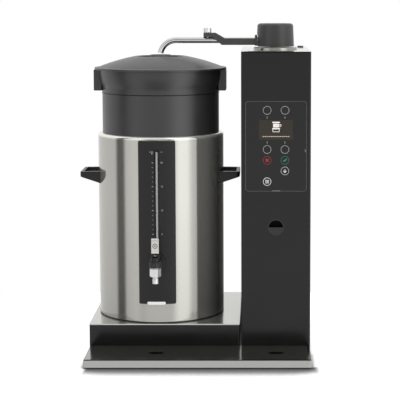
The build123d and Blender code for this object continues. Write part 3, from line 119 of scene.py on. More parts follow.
class BrewerPrint(bpy.types.PropertyGroup):
    """Sizes of the printed marks."""

    lift: bpy.props.FloatProperty(
        name="Print thickness", description="How far the print stands on its surface", unit="LENGTH",
        default=0.08 * MM, min=0)
    key_radius: bpy.props.FloatProperty(
        name="Key radius", description="Outer radius of a touch key's ring", unit="LENGTH",
        default=12.0 * MM)
    key_line: bpy.props.FloatProperty(
        name="Key line", description="Line width of a touch key's ring", unit="LENGTH", default=1.3 * MM)
    key_half_span: bpy.props.FloatProperty(
        name="Key half span", description="Middle of the panel to a column of keys", unit="LENGTH",
        default=25.5 * MM)
    border_line: bpy.props.FloatProperty(
        name="Border line", description="Line width of the panel's outline", unit="LENGTH",
        default=1.3 * MM)
    litre_pitch: bpy.props.FloatProperty(
        name="Litre pitch", description="Height between two ticks of the gauge", unit="LENGTH",
        default=13.8 * MM)
    first_litre_height: bpy.props.FloatProperty(
        name="Lowest tick", description="Height of the lowest tick, five litres", unit="LENGTH",
        default=352.6 * MM)
    tick_offset: bpy.props.FloatProperty(
        name="Tick offset", description="Middle of the gauge to its ticks", unit="LENGTH",
        default=11.8 * MM)
    numeral_offset: bpy.props.FloatProperty(
        name="Numeral offset", description="Middle of the gauge to its numerals", unit="LENGTH",
        default=14.5 * MM)
    numeral_height: bpy.props.FloatProperty(
        name="Numeral height", description="Height of the gauge's numerals", unit="LENGTH",
        default=4.6 * MM)


class BrewerStudio(bpy.types.PropertyGroup):
    """Camera and lamps."""

    camera_place: bpy.props.FloatVectorProperty(
        name="Camera place", description="Where the camera stands", subtype="TRANSLATION",
        default=(0.185, -4.0487, 1.022))
    camera_turn: bpy.props.FloatVectorProperty(
        name="Camera turn", description="Pitch, roll and yaw of the camera", subtype="EULER",
        default=(math.radians(90 - 6.145), 0.0, 0.0))
    lens: bpy.props.FloatProperty(name="Lens", description="Focal length in millimetres", default=123.48)
    shift: bpy.props.FloatVectorProperty(
        name="Shift", description="Shift of the picture, in picture widths", size=2,
        default=(-0.1425, -0.13))
    key_power: bpy.props.FloatProperty(
        name="Top lamp", description="Power of the lamp above", unit="POWER", default=26.0)
    sky: bpy.props.FloatProperty(name="Room light", description="Strength of the room's light", default=0.9)
    floor_glow: bpy.props.FloatProperty(
        name="Floor glow", description="Lift of the floor's white, as the camera and glass see it",
        default=0.5)


def settings():
    """The three groups of settings in this scene."""
    scene = bpy.context.scene
    return scene.brewer_finishes, scene.brewer_print, scene.brewer_studio


# Materials

def finish(name, colour, metallic=0.0, roughness=0.5, specular=0.5):
    """A new material with its shader set to constant values."""
    material = bpy.data.materials.new(name)
    material.use_nodes = True
    shader = material.node_tree.nodes["Principled BSDF"]
    shader.inputs["Base Color"].default_value = (*colour, 1.0)
    shader.inputs["Metallic"].default_value = metallic
    shader.inputs["Roughness"].default_value = roughness
    shader.inputs["Specular IOR Level"].default_value = specular
    material.diffuse_color = (*colour, 1.0)
    return material, material.node_tree, shader


def vector_step(tree, operation, vector, amount=(0, 0, 0)):
    """One step of arithmetic between a vector and a constant one."""
    node = tree.nodes.new("ShaderNodeVectorMath")
    node.operation = operation
    node.inputs[1].default_value = amount
    tree.links.new(vector, node.inputs[0])
    return node.outputs


def nodes_of(material):
    """Node tree and shader of a finished material."""
    return material.node_tree, material.node_tree.nodes["Principled BSDF"]


def speckle(tree, scale, detail=2.0, centre=None):
    """Noise in object space, stretched by a scale for each axis, or wound round an upright axis."""
    place = tree.nodes.new("ShaderNodeTexCoord").outputs["Object"]
    if centre is not None:
        split = tree.nodes.new("ShaderNodeSeparateXYZ")
        join = tree.nodes.new("ShaderNodeCombineXYZ")
        shifted = vector_step(tree, "SUBTRACT", place, (centre.x, centre.y, 0))
        tree.links.new(shifted["Vector"], split.inputs["Vector"])
        turn = reckon(tree, "ARCTAN2", split.outputs["X"], split.outputs["Y"])
        tree.links.new(turn, join.inputs["X"])
        tree.links.new(split.outputs["Z"], join.inputs["Z"])
        place = join.outputs["Vector"]
    mapping = tree.nodes.new("ShaderNodeMapping")
    mapping.inputs["Scale"].default_value = scale
    grain = tree.nodes.new("ShaderNodeTexNoise")
    grain.inputs["Scale"].default_value = 1.0
    grain.inputs["Detail"].default_value = detail
    tree.links.new(place, mapping.inputs["Vector"])
    tree.links.new(mapping.outputs["Vector"], grain.inputs["Vector"])
    return grain.outputs["Fac"]


def reckon(tree, operation, *terms):
    """One step of arithmetic between sockets and numbers."""
    node = tree.nodes.new("ShaderNodeMath")
    node.operation = operation
    for slot, term in zip(node.inputs, terms):
        if isinstance(term, bpy.types.NodeSocket):
            tree.links.new(term, slot)
        else:
            slot.default_value = term
    return node.outputs["Value"]


def carry(tree, value, start, end, low=0.0, high=1.0, smooth=False):
    """Carries a value between two places onto a range, and holds it at the ends outside them."""
    node = tree.nodes.new("ShaderNodeMapRange")
    node.interpolation_type = "SMOOTHSTEP" if smooth else "LINEAR"
    node.inputs["From Min"].default_value = start
    node.inputs["From Max"].default_value = end
    node.inputs["To Min"].default_value = low
    node.inputs["To Max"].default_value = high
    tree.links.new(value, node.inputs["Value"])
    return node.outputs["Result"]


def spread(tree, value, low, high):
    """Carries the middle of a noise onto a range."""
    return carry(tree, value, 0.3, 0.7, low, high)


def along(tree, axis):
    """Place along one axis in object space."""
    place = tree.nodes.new("ShaderNodeTexCoord")
    split = tree.nodes.new("ShaderNodeSeparateXYZ")
    tree.links.new(place.outputs["Object"], split.inputs["Vector"])
    return split.outputs[axis]


def blended(tree, factor, first, second, blend="MIX"):
    """Mix of two colours, each a socket or a constant."""
    mix = tree.nodes.new("ShaderNodeMix")
    mix.data_type = "RGBA"
    mix.blend_type = blend
    for name, value in (("Factor", factor), ("A", first), ("B", second)):
        if isinstance(value, bpy.types.NodeSocket):
            tree.links.new(value, mix.inputs[name])
        elif name == "Factor":
            mix.inputs[name].default_value = value
        else:
            mix.inputs[name].default_value = (*value, 1.0)
    return mix.outputs["Result"]


def tint(tree, shader, value, dark, light):
    """Base colour that wanders between two colours."""
    tree.links.new(blended(tree, spread(tree, value, 0.0, 1.0), dark, light), shader.inputs["Base Color"])


def darken(tree, shader, share):
    """Multiplies the base colour by a share."""
    base = shader.inputs["Base Color"]
    tree.links.new(blended(tree, 1.0, base.links[0].from_socket, share, "MULTIPLY"), base)


def zoned(tree, shader, axis, edge, below, above):
    """Base colour that changes at a place along one axis: two colours moulded in, as on the lever, and
    painted shade and light, as on the steel plates' dark front strips and the finger pull's cup.
    """
    step = carry(tree, along(tree, axis), edge - 0.1 * MM, edge + 0.1 * MM)
    wander = spread(tree, speckle(tree, (60.0, 60.0, 60.0)), 0.0, 1.0)
    sides = [blended(tree, wander, scaled(colour, 0.95), scaled(colour, 1.05)) for colour in (below, above)]
    tree.links.new(blended(tree, step, *sides), shader.inputs["Base Color"])


def stain(tree, shader, centre, radii):
    """Painted shade: darkens the base colour inside an oval on a level face, where a hollow or slit lies in
    shadow.
    """
    place = tree.nodes.new("ShaderNodeTexCoord").outputs["Object"]
    shifted = vector_step(tree, "SUBTRACT", place, centre)
    shrunk = vector_step(tree, "MULTIPLY", shifted["Vector"], (1 / radii[0], 1 / radii[1], 0))
    reach = vector_step(tree, "LENGTH", shrunk["Vector"])
    darken(tree, shader, carry(tree, reach["Value"], 0.9, 1.05, low=0.05))


def relief(tree, shader, value, depth, strength=0.6):
    """Fine relief of a given depth in metres."""
    bump = tree.nodes.new("ShaderNodeBump")
    bump.inputs["Strength"].default_value = strength
    bump.inputs["Distance"].default_value = depth
    tree.links.new(value, bump.inputs["Height"])
    tree.links.new(bump.outputs["Normal"], shader.inputs["Normal"])


def scaled(colour, factor):
    """A colour made lighter or darker."""
    return tuple(min(1.0, c * factor) for c in colour)


def brushed_steel(name, colour, grain, roughness, centre=None, metallic=0.87, painted_light_heights=None):
    """Stainless sheet with a fine brushed grain, and painted shade and highlight that may change with the
    height.
    """
    material, tree, shader = finish(name, colour, metallic=metallic, roughness=roughness)
    streaks = speckle(tree, grain, detail=3.0, centre=centre)
    tree.links.new(spread(tree, streaks, roughness - 0.03, roughness + 0.04), shader.inputs["Roughness"])
    tint(tree, shader, streaks, scaled(colour, 0.96), scaled(colour, 1.04))
    relief(tree, shader, streaks, 0.004 * MM, 0.2)
    if painted_light_heights:
        shade_by_height(tree, shader, painted_light_heights)
    return material


def shade_by_height(tree, shader, painted_light_heights):
    """Painted light: multiplies the base colour by a grey that follows pairs of height and share, darker
    for painted shade and lighter for painted highlight.
    """
    low, high = painted_light_heights[0][0], painted_light_heights[-1][0]
    stops = [((height - low) / (high - low), share) for height, share in painted_light_heights]
    darken(tree, shader, grey_ramp(tree, carry(tree, along(tree, "Z"), low, high), stops))


def grey_ramp(tree, value, stops):
    """Carries a value from nothing to one through grey stops."""
    ramp = tree.nodes.new("ShaderNodeValToRGB")
    first, last = ramp.color_ramp.elements
    first.position, last.position = stops[0][0], stops[-1][0]
    first.color = (*[stops[0][1]] * 3, 1)
    last.color = (*[stops[-1][1]] * 3, 1)
    for position, level in stops[1:-1]:
        ramp.color_ramp.elements.new(position).color = (level, level, level, 1)
    tree.links.new(value, ramp.inputs["Fac"])
    return ramp.outputs["Color"]


def edged_steel(name, colour, shade, edge, metallic, roughness):
    """Stainless sheet with a near-black strip in front of a place along Y, painted shade along its front
    edge, and its colour scaled behind that place.
    """
    material, tree, shader = finish(name, colour, metallic=metallic, roughness=roughness)
    zoned(tree, shader, "Y", edge, scaled(colour, 0.02), scaled(colour, shade))
    relief(tree, shader, speckle(tree, SHEET_GRAIN, detail=3.0), 0.004 * MM, 0.2)
    return material


def moulded(name, colour, roughness, grain=900.0, depth=0.03, specular=0.5):
    """Moulded plastic or coated sheet: fine eroded grain and slow colour drift."""
    material, tree, shader = finish(name, colour, roughness=roughness, specular=specular)
    fine = speckle(tree, (grain, grain, grain), detail=2.0)
    slow = speckle(tree, (9.0, 9.0, 9.0), detail=3.0)
    tint(tree, shader, slow, scaled(colour, 0.9), scaled(colour, 1.12))
    tree.links.new(spread(tree, slow, roughness - 0.03, roughness + 0.04), shader.inputs["Roughness"])
    relief(tree, shader, fine, depth * MM, 0.5)
    return material


def polished(name, colour, roughness, metallic=1.0):
    """Plated or turned metal with faint smears."""
    material, tree, shader = finish(name, colour, metallic=metallic, roughness=roughness)
    smear = speckle(tree, (60.0, 60.0, 60.0), detail=3.0)
    tree.links.new(spread(tree, smear, roughness * 0.8, roughness * 1.4), shader.inputs["Roughness"])
    tint(tree, shader, smear, scaled(colour, 0.95), scaled(colour, 1.03))
    return material


def glass(name, colour, roughness):
    """Clear glass or acrylic."""
    material, tree, shader = finish(name, colour, roughness=roughness)
    shader.inputs["Transmission Weight"].default_value = 0.2
    shader.inputs["IOR"].default_value = 1.47
    smear = speckle(tree, (40.0, 40.0, 40.0), detail=2.0)
    tree.links.new(spread(tree, smear, roughness, roughness + 0.06), shader.inputs["Roughness"])
    return material


def printed(name, colour, glow=0.0):
    """Ink with a slightly uneven coat; keys that are lit and the display also glow, and the gauge's plain
    plate glows as painted light.
    """
    material, tree, shader = finish(name, colour, roughness=0.45)
    wear = speckle(tree, (700.0, 700.0, 700.0), detail=2.0)
    tint(tree, shader, wear, scaled(colour, 0.88), scaled(colour, 1.08))
    if glow:
        shader.inputs["Emission Color"].default_value = (*colour, 1.0)
        shader.inputs["Emission Strength"].default_value = glow
    return material


def dress(material, *nodes):
    """Gives solids of the frame a material, with smooth shading across their facets."""
    for node in nodes:
        piece = NODES[node]
        piece.data.materials.clear()
        piece.data.materials.append(material)
        for face in piece.data.polygons:
            face.use_smooth = True
        weld = piece.modifiers.new("weld", "WELD")
        weld.merge_threshold = 0.005 * MM
        split = piece.modifiers.new("edges", "EDGE_SPLIT")
        split.split_angle = math.radians(28)


# Mesh helpers: marks are drawn flat, x to the right and y up, then given a thickness

def plate(bm, x, y, width, height, corner=0.0, turn=0.0):
    """Flat rectangle with rounded corners."""
    size = Matrix.Diagonal((width, height, 1, 1))
    place = Matrix.Translation((x, y, 0)) @ Matrix.Rotation(turn, 4, "Z") @ size
    before = set(bm.faces)
    made = bmesh.ops.create_grid(bm, x_segments=1, y_segments=1, size=0.5, matrix=place)
    if corner:
        bmesh.ops.bevel(
            bm, geom=made["verts"], offset=corner, offset_type="OFFSET", segments=6, profile=0.5,
            affect="VERTICES", material=-1)
    return [face for face in bm.faces if face not in before]


def disc(bm, x, y, radius, segments=40):
    """Flat disc."""
    made = bmesh.ops.create_circle(
        bm, cap_ends=True, segments=segments, radius=radius, matrix=Matrix.Translation((x, y, 0)))
    return made["verts"][0].link_faces[:]


def hollow(bm, faces, line):
    """Leaves only a line of the given width along the edge of flat faces."""
    bmesh.ops.inset_region(bm, faces=faces, thickness=line, use_even_offset=True, use_boundary=True)
    bmesh.ops.delete(bm, geom=faces, context="FACES")


def ring(bm, x, y, radius, line, segments=40):
    """Flat ring."""
    hollow(bm, disc(bm, x, y, radius, segments), line)


def thicken(bm, depth):
    """Gives all flat faces a thickness, towards +z."""
    made = bmesh.ops.extrude_face_region(bm, geom=bm.faces[:])
    top = [item for item in made["geom"] if isinstance(item, bmesh.types.BMVert)]
    bmesh.ops.translate(bm, verts=top, vec=(0, 0, depth))
    bmesh.ops.recalc_face_normals(bm, faces=bm.faces[:])


def onto_front(bm, x, y):
    """Stands a flat drawing up on a face that looks to the front."""
    bmesh.ops.transform(
        bm, matrix=Matrix.Translation((x, y, 0)) @ Matrix.Rotation(math.pi / 2, 4, "X"), verts=bm.verts[:])


def wound(radius, start, centre, turns, steps, rise=0.0):
    """Round wire that starts at a place and winds round an upright axis, closed if it doesn't rise."""
    bm = bmesh.new()
    place = Matrix.Translation(start) @ Matrix.Rotation(math.pi / 2, 4, "X")
    made = bmesh.ops.create_circle(bm, segments=10, radius=radius, matrix=place)
    bmesh.ops.spin(
        bm, geom=made["verts"] + bm.edges[:], cent=centre, axis=(0, 0, 1), dvec=(0, 0, rise / steps),
        angle=turns * math.tau, steps=steps, use_merge=not rise)
    if rise:
        bmesh.ops.holes_fill(bm, edges=bm.edges[:])
    else:
        bmesh.ops.remove_doubles(bm, verts=bm.verts[:], dist=0.01 * MM)
    bmesh.ops.recalc_face_normals(bm, faces=bm.faces[:])
    for face in bm.faces:
        face.smooth = True
    return bm


def onto_gauge(bm):
    """Wraps a flat drawing round the curved face of the gauge."""
    for vert in bm.verts:
        radius = GAUGE_RADIUS + vert.co.z
        angle = vert.co.x / GAUGE_RADIUS
        vert.co = (URN_AXIS.x + radius * math.sin(angle), URN_AXIS.y - radius * math.cos(angle), vert.co.y)


def publish(bm, name, material, body, slot, *stands_for):
    """Turns a bmesh into a piece that rides on a body."""
    mesh = bpy.data.meshes.new(name)
    bm.to_mesh(mesh)
    bm.free()
    mesh.materials.append(material)
    piece = bpy.data.objects.new(name, mesh)
    bpy.context.scene.collection.objects.link(piece)
    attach(piece, body)
    if stands_for:
        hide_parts(*stands_for)
    return piece


def stamp(bm, name, material, lift, place, body, slot):
    """Thickens a flat drawing, stands it on a front face at a place and publishes it."""
    thicken(bm, lift)
    onto_front(bm, *place)
    publish(bm, name, material, body, slot)


def numeral(text, height):
    """Flat mesh of a plain number, centred on the origin."""
    curve = bpy.data.curves.new("numeral", "FONT")
    curve.body = text
    curve.size = height * 1.4
    curve.align_x = "CENTER"
    curve.align_y = "CENTER"
    curve.resolution_u = 3
    curve.offset = 0.04 * height
    shown = bpy.data.objects.new("numeral", curve)
    mesh = bpy.data.meshes.new_from_object(shown)
    bpy.data.objects.remove(shown)
    bpy.data.curves.remove(curve)
    return mesh


class BREWER_OT_casings(bpy.types.Operator):
    """Black coated sheet of the base, the column and the chassis"""

    bl_idname = "brewer.casings"
    bl_label = "Casings"

    def execute(self, context):
        colours = settings()[0]
        paint = moulded("black_coating", colours.paint, 0.2, grain=1400.0, depth=0.003, specular=0.39)
        dress(paint, "base_skirt", "column_casing", "rear_cover", "chassis")
        return {"FINISHED"}


class BREWER_OT_steel(bpy.types.Operator):
    """Brushed steel of the plates, the tray, the urn and the hidden vessels"""

    bl_idname = "brewer.steel"
    bl_label = "Steel"

    def execute(self, context):
        colour = settings()[0].steel
        dress(brushed_steel("steel_plate", scaled(colour, 1.25), SHEET_GRAIN, 0.16), "base_top_plate")
        dress(brushed_steel("steel_flange", scaled(colour, 0.8), SHEET_GRAIN, 0.1), "swivel_flange")
        dress(brushed_steel("steel_tray", (0.46, 0.46, 0.452), SHEET_GRAIN, 0.18), "drip_tray")
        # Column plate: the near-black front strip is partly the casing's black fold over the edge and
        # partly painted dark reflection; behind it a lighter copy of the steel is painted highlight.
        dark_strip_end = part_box("column_top_plate")[0].y + 4.0 * MM
        top = edged_steel("steel_column_plate", colour, 1.5, dark_strip_end, metallic=0.87, roughness=0.1)
        dress(top, "column_top_plate")
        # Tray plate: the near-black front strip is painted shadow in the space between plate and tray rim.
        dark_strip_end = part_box("tray_plate")[0].y + 3.0 * MM
        cover = edged_steel("steel_tray_plate", colour, 0.7, dark_strip_end, metallic=0.92, roughness=0.15)
        plate_y = middle("tray_plate").y
        # Painted shade in the two drain slots and along the plate's right end, where the space to the tray
        # rim lies in shadow.
        drain = (23 * MM, 13 * MM)
        for x in (TAP_AXIS.x, PANEL_X):
            stain(*nodes_of(cover), Vector((x, plate_y, 0)), drain)
        right_end = Vector((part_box("tray_plate")[1].x, plate_y, 0))
        stain(*nodes_of(cover), right_end, (7 * MM, 200 * MM))
        dress(cover, "tray_plate")
        rim = URN_HIGH.z
        # Painted light on the urn wall: darker towards the bottom as painted shade, and a painted highlight
        # on the rim's roll.
        shell = [(URN_LOW.z, 0.84), (rim - 180 * MM, 1.0), (rim - 11 * MM, 1.0), (rim - 5 * MM, 1.9)]
        wall = brushed_steel(
            "steel_urn_wall", scaled(colour, 1.05), ROUND_GRAIN, 0.11, centre=URN_AXIS, metallic=0.76,
            painted_light_heights=shell)
        dress(wall, "urn_shell")
        vessel = brushed_steel("steel_vessel", colour, ROUND_GRAIN, 0.2, centre=URN_AXIS)
        dress(vessel, "urn_vessel", "filter_basket")
        inner = brushed_steel("steel_inner", scaled(colour, 0.9), (40.0, 40.0, 500.0), 0.34)
        dress(inner, "boiler", "boiler_stand", "heating_element", "riser_pipe", "inlet_pipe",
              "rear_cover_screws")
        return {"FINISHED"}


class BREWER_OT_mouldings(bpy.types.Operator):
    """Black plastic of filter, lid, knob, grip, handles, gauge and fittings"""

    bl_idname = "brewer.mouldings"
    bl_label = "Mouldings"

    def execute(self, context):
        colour = settings()[0].moulding
        satin = {"colour": scaled(colour, 1.8), "roughness": 0.34, "depth": 0.008, "specular": 0.78}
        dress(moulded("black_moulding", **satin), "filter_pan", "column_plug", "plug_seat")
        cover = moulded("lid_moulding", **satin)
        # Painted shade in the lid's dish: darker inside its radius.
        dish_radius = 70.0 * MM
        stain(*nodes_of(cover), URN_AXIS, (dish_radius, dish_radius))
        dress(cover, "lid")
        # The spray plate is a lighter copy of the black moulding: painted light of the top light on the
        # inlet boss.
        dress(moulded("spray_moulding_painted_light", scaled(colour, 12.0), 0.3, depth=0.008), "spray_plate")
        # The bead is a darker, duller copy of the moulding: painted shade of the seam line.
        self.bead(moulded("bead_moulding_painted_shade", scaled(colour, 0.3), 0.3, specular=0.15))
        # Knob and grip arm get lighter copies of the black moulding: painted reflection of the white room
        # around them.
        dress(moulded("knob_moulding_painted_light", scaled(colour, 2.9), 0.36, depth=0.012), "swivel_cap")
        dress(moulded("grip_moulding_painted_light", scaled(colour, 3.9), 0.36, depth=0.012), "grip_arm")
        dull = moulded("black_grip", scaled(colour, 0.6), 0.3, depth=0.01, specular=0.4)
        dress(dull, "left_handle", "right_handle", "urn_foot", "tap_housing", "tap_bonnet", "tap_stem",
              "tap_wall_nut", "tap_back_nut", "cable_gland", "gland_nut", "valve_coil", "display_module")
        pull, tree, shader = finish("finger_pull_moulding", colour, roughness=0.6, specular=0.1)
        # Painted light on the finger pull: its front face is a lighter copy of the moulding, and the inside
        # of its cup a darker one, painted shade in the hollow.
        cup_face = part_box("finger_pull")[0].y + 0.5 * MM
        zoned(tree, shader, "Y", cup_face, scaled(colour, 3.2), scaled(colour, 0.15))
        relief(tree, shader, speckle(tree, (900.0, 900.0, 900.0)), 0.01 * MM, 0.5)
        dress(pull, "finger_pull")
        face = moulded("gauge_moulding", scaled(colour, 0.75), 0.36, depth=0.01, specular=0.4)
        dress(face, "gauge_panel")
        rubber = moulded("rubber", scaled(colour, 0.7), 0.7, grain=500.0, depth=0.05)
        dress(rubber, "feet", "tray_pads", "gauge_seals", "swivel_seals", "tap_seat")
        dress(moulded("mineral_wool", (0.55, 0.5, 0.36), 0.9, grain=260.0, depth=0.6), "urn_insulation")
        dress(moulded("bearing_plastic", (0.8, 0.8, 0.77), 0.45), "swivel_bush")
        dress(moulded("circuit_board", (0.03, 0.16, 0.07), 0.4), "control_board")
        return {"FINISHED"}

    def bead(self, material):
        """Slim round bead along the foot of the filter pan's collar; its darker, duller moulding is painted
        shade of the seam there.
        """
        radius = URN_RADIUS - 13.0 * MM
        start = (URN_AXIS.x + radius, URN_AXIS.y, URN_HIGH.z + 118.4 * MM)
        bm = wound(1.1 * MM, start, URN_AXIS, turns=1, steps=128)
        publish(bm, "pan_collar_bead", material, "filter", "black_plastic")


class BREWER_OT_bright_metal(bpy.types.Operator):
    """Chrome pipe, nut and valve spring, the nickel nozzle and the brass inside"""

    bl_idname = "brewer.bright_metal"
    bl_label = "Bright metal"

    def execute(self, context):
        chrome = polished("chrome", settings()[0].chrome, 0.06)
        dress(chrome, "outlet_pipe", "thumb_nut", "lever_pin", "tap_shank")
        self.spring(chrome)
        nickel = polished("satin_nickel", scaled(settings()[0].chrome, 1.02), 0.3, metallic=0.7)
        dress(nickel, "tap_nozzle")
        dress(polished("brass", (0.62, 0.47, 0.22), 0.25), "swivel_stem", "inlet_valve")
        return {"FINISHED"}

    def spring(self, material):
        """Coil over the valve stem, standing in for the frame's spring; the real coil shortens as the valve
        lifts.
        """
        low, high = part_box("tap_spring")
        centre = middle("tap_spring")
        wire = 0.55 * MM
        start = (high.x - wire, centre.y, low.z + wire)
        bm = wound(wire, start, centre, turns=4, steps=96, rise=high.z - low.z - 2 * wire)
        coil = publish(bm, "valve_spring_coil", material, "urn", "chrome", "tap_spring")
        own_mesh(coil)


class BREWER_OT_control_panel(bpy.types.Operator):
    """Touch overlay with its border, keys and display"""

    bl_idname = "brewer.control_panel"
    bl_label = "Control panel"

    def execute(self, context):
        colours, sizes, _ = settings()
        dress(moulded("panel_film", colours.overlay, 0.38, grain=1600.0, depth=0.012), "control_panel")
        dress(moulded("display_glass", colours.screen, 0.2, grain=300.0, depth=0.002), "display_window")
        faint = printed("panel_border_ink", scaled(colours.marks, 0.24))
        lit = printed("panel_lit_ink", scaled(colours.marks, 1.5), 0.1)
        self.border(sizes, faint)
        self.keys(sizes, printed("panel_ink", colours.marks))
        self.lit_keys(sizes, lit)
        self.coloured_keys(sizes, colours)
        self.picture(sizes)
        return {"FINISHED"}

    def border(self, sizes, ink):
        """Thin outline along the panel's edge."""
        bm = bmesh.new()
        line = sizes.border_line
        width = PANEL_HIGH.x - PANEL_LOW.x - line
        height = PANEL_HIGH.z - PANEL_LOW.z - line
        hollow(bm, plate(bm, 0, middle("control_panel").z, width, height, 9 * MM), line)
        stamp(bm, "panel_border", ink, sizes.lift, PANEL_FACE, "machine", "overlay")

    def keys(self, sizes, ink):
        """Plain rings of the touch keys, a short mark beside each, a dash and a chevron."""
        bm = bmesh.new()
        span = sizes.key_half_span
        top = PANEL_HIGH.z
        for side in (-1, 1):
            for drop, mark_drop in ((27.0, 47.5), (139.4, 119.0)):
                ring(bm, side * span, top - drop * MM, sizes.key_radius, sizes.key_line)
                plate(bm, side * span, top - mark_drop * MM, 1.6 * MM, 6.0 * MM, 0.3 * MM)
        plate(bm, 0, PANEL_LOW.z + 2.4 * MM, 24.0 * MM, 1.0 * MM, 0.3 * MM)
        tip = (PANEL_HIGH.x - PANEL_LOW.x) / 2 - 4.4 * MM
        for turn in (-1, 1):
            height = top - 143.0 * MM + turn * 1.6 * MM
            plate(bm, tip, height, 5.0 * MM, 1.0 * MM, turn=-turn * math.pi / 4)
        stamp(bm, "panel_keys", ink, sizes.lift, PANEL_FACE, "machine", "overlay")

    def lit_keys(self, sizes, ink):
        """Two brighter keys, one with a drop and one with a block of squares."""
        bm = bmesh.new()
        span = sizes.key_half_span
        drop_height = PANEL_HIGH.z - 201.0 * MM
        block_height = PANEL_HIGH.z - 232.0 * MM
        ring(bm, span, drop_height, 11.8 * MM, 1.0 * MM)
        ring(bm, -span, block_height, sizes.key_radius, 1.8 * MM)
        disc(bm, span, drop_height - 1.2 * MM, 4.2 * MM, 24)
        plate(bm, span, drop_height + 2.0 * MM, 4.4 * MM, 4.4 * MM, 0.4 * MM, math.pi / 4)
        pitch = 3.6 * MM
        square = 2.9 * MM
        for row in (-1, 0, 1):
            for column in (-1, 0, 1):
                plate(bm, -span + column * pitch, block_height + row * pitch, square, square, 0.4 * MM)
        stamp(bm, "panel_lit_keys", ink, sizes.lift, PANEL_FACE, "machine", "overlay")

    def coloured_keys(self, sizes, colours):
        """Red and green keys with their signs."""
        height = PANEL_HIGH.z - 170.5 * MM
        lift = sizes.lift
        for name, side, colour in (("cancel", -1, colours.cancel), ("confirm", 1, colours.confirm)):
            x = side * sizes.key_half_span
            bm = bmesh.new()
            ring(bm, x, height, 12.2 * MM, 1.3 * MM)
            edge = printed(f"{name}_ring_ink", colour, 0.1)
            stamp(bm, f"panel_{name}_ring", edge, lift, PANEL_FACE, "machine", "overlay")
            bm = bmesh.new()
            disc(bm, x, height, 9.8 * MM)
            shade = printed(f"{name}_ink", scaled(colour, 0.12), 0.05)
            stamp(bm, f"panel_{name}_key", shade, lift, PANEL_FACE, "machine", "overlay")
            bm = bmesh.new()
            self.sign(bm, name, x, height)
            bright = printed(f"{name}_sign_ink", scaled(colour, 2.2), 0.25)
            on_key = (PANEL_FACE[0], PANEL_FACE[1] - lift)
            stamp(bm, f"panel_{name}_sign", bright, lift, on_key, "machine", "overlay")

    def sign(self, bm, name, x, height):
        """Cross or tick, drawn with straight strokes."""
        if name == "cancel":
            for turn in (-1, 1):
                plate(bm, x, height, 11.0 * MM, 1.7 * MM, 0.3 * MM, turn * math.pi / 4)
        else:
            plate(bm, x + 1.3 * MM, height + 0.4 * MM, 10.0 * MM, 1.8 * MM, 0.3 * MM, math.pi / 4)
            plate(bm, x - 3.2 * MM, height - 1.6 * MM, 5.0 * MM, 1.8 * MM, 0.3 * MM, -math.pi / 4)

    def picture(self, sizes):
        """Plain urn sign and a level bar on the display."""
        bm = bmesh.new()
        z = middle("display_window").z + 10.5 * MM
        plate(bm, 0, z + 11.0 * MM, 22.0 * MM, 4.0 * MM, 1.4 * MM)
        plate(bm, 0, z + 2.0 * MM, 17.0 * MM, 11.0 * MM, 2.0 * MM)
        plate(bm, 0, z - 7.0 * MM, 22.0 * MM, 4.0 * MM, 1.2 * MM)
        plate(bm, 0, z - 16.0 * MM, 20.0 * MM, 1.6 * MM, 0.5 * MM)
        for side in (-1, 1):
            plate(bm, side * 9.0 * MM, z - 11.8 * MM, 1.6 * MM, 6.4 * MM, 0.4 * MM)
        hollow(bm, plate(bm, 11.4 * MM, z + 2.4 * MM, 7.0 * MM, 7.0 * MM, 2.4 * MM), 1.6 * MM)
        white = printed("display_white", (0.8, 0.76, 0.7), 0.25)
        stamp(bm, "display_sign", white, sizes.lift, WINDOW_FACE, "machine", "clear")
        bm = bmesh.new()
        for step in range(14):
            plate(bm, (step - 6.5) * 5.6 * MM, z - 29.5 * MM, 3.8 * MM, 2.2 * MM, 0.4 * MM)
        cream = printed("display_cream", (0.6, 0.53, 0.42), 0.25)
        stamp(bm, "display_level_bar", cream, sizes.lift, WINDOW_FACE, "machine", "clear")


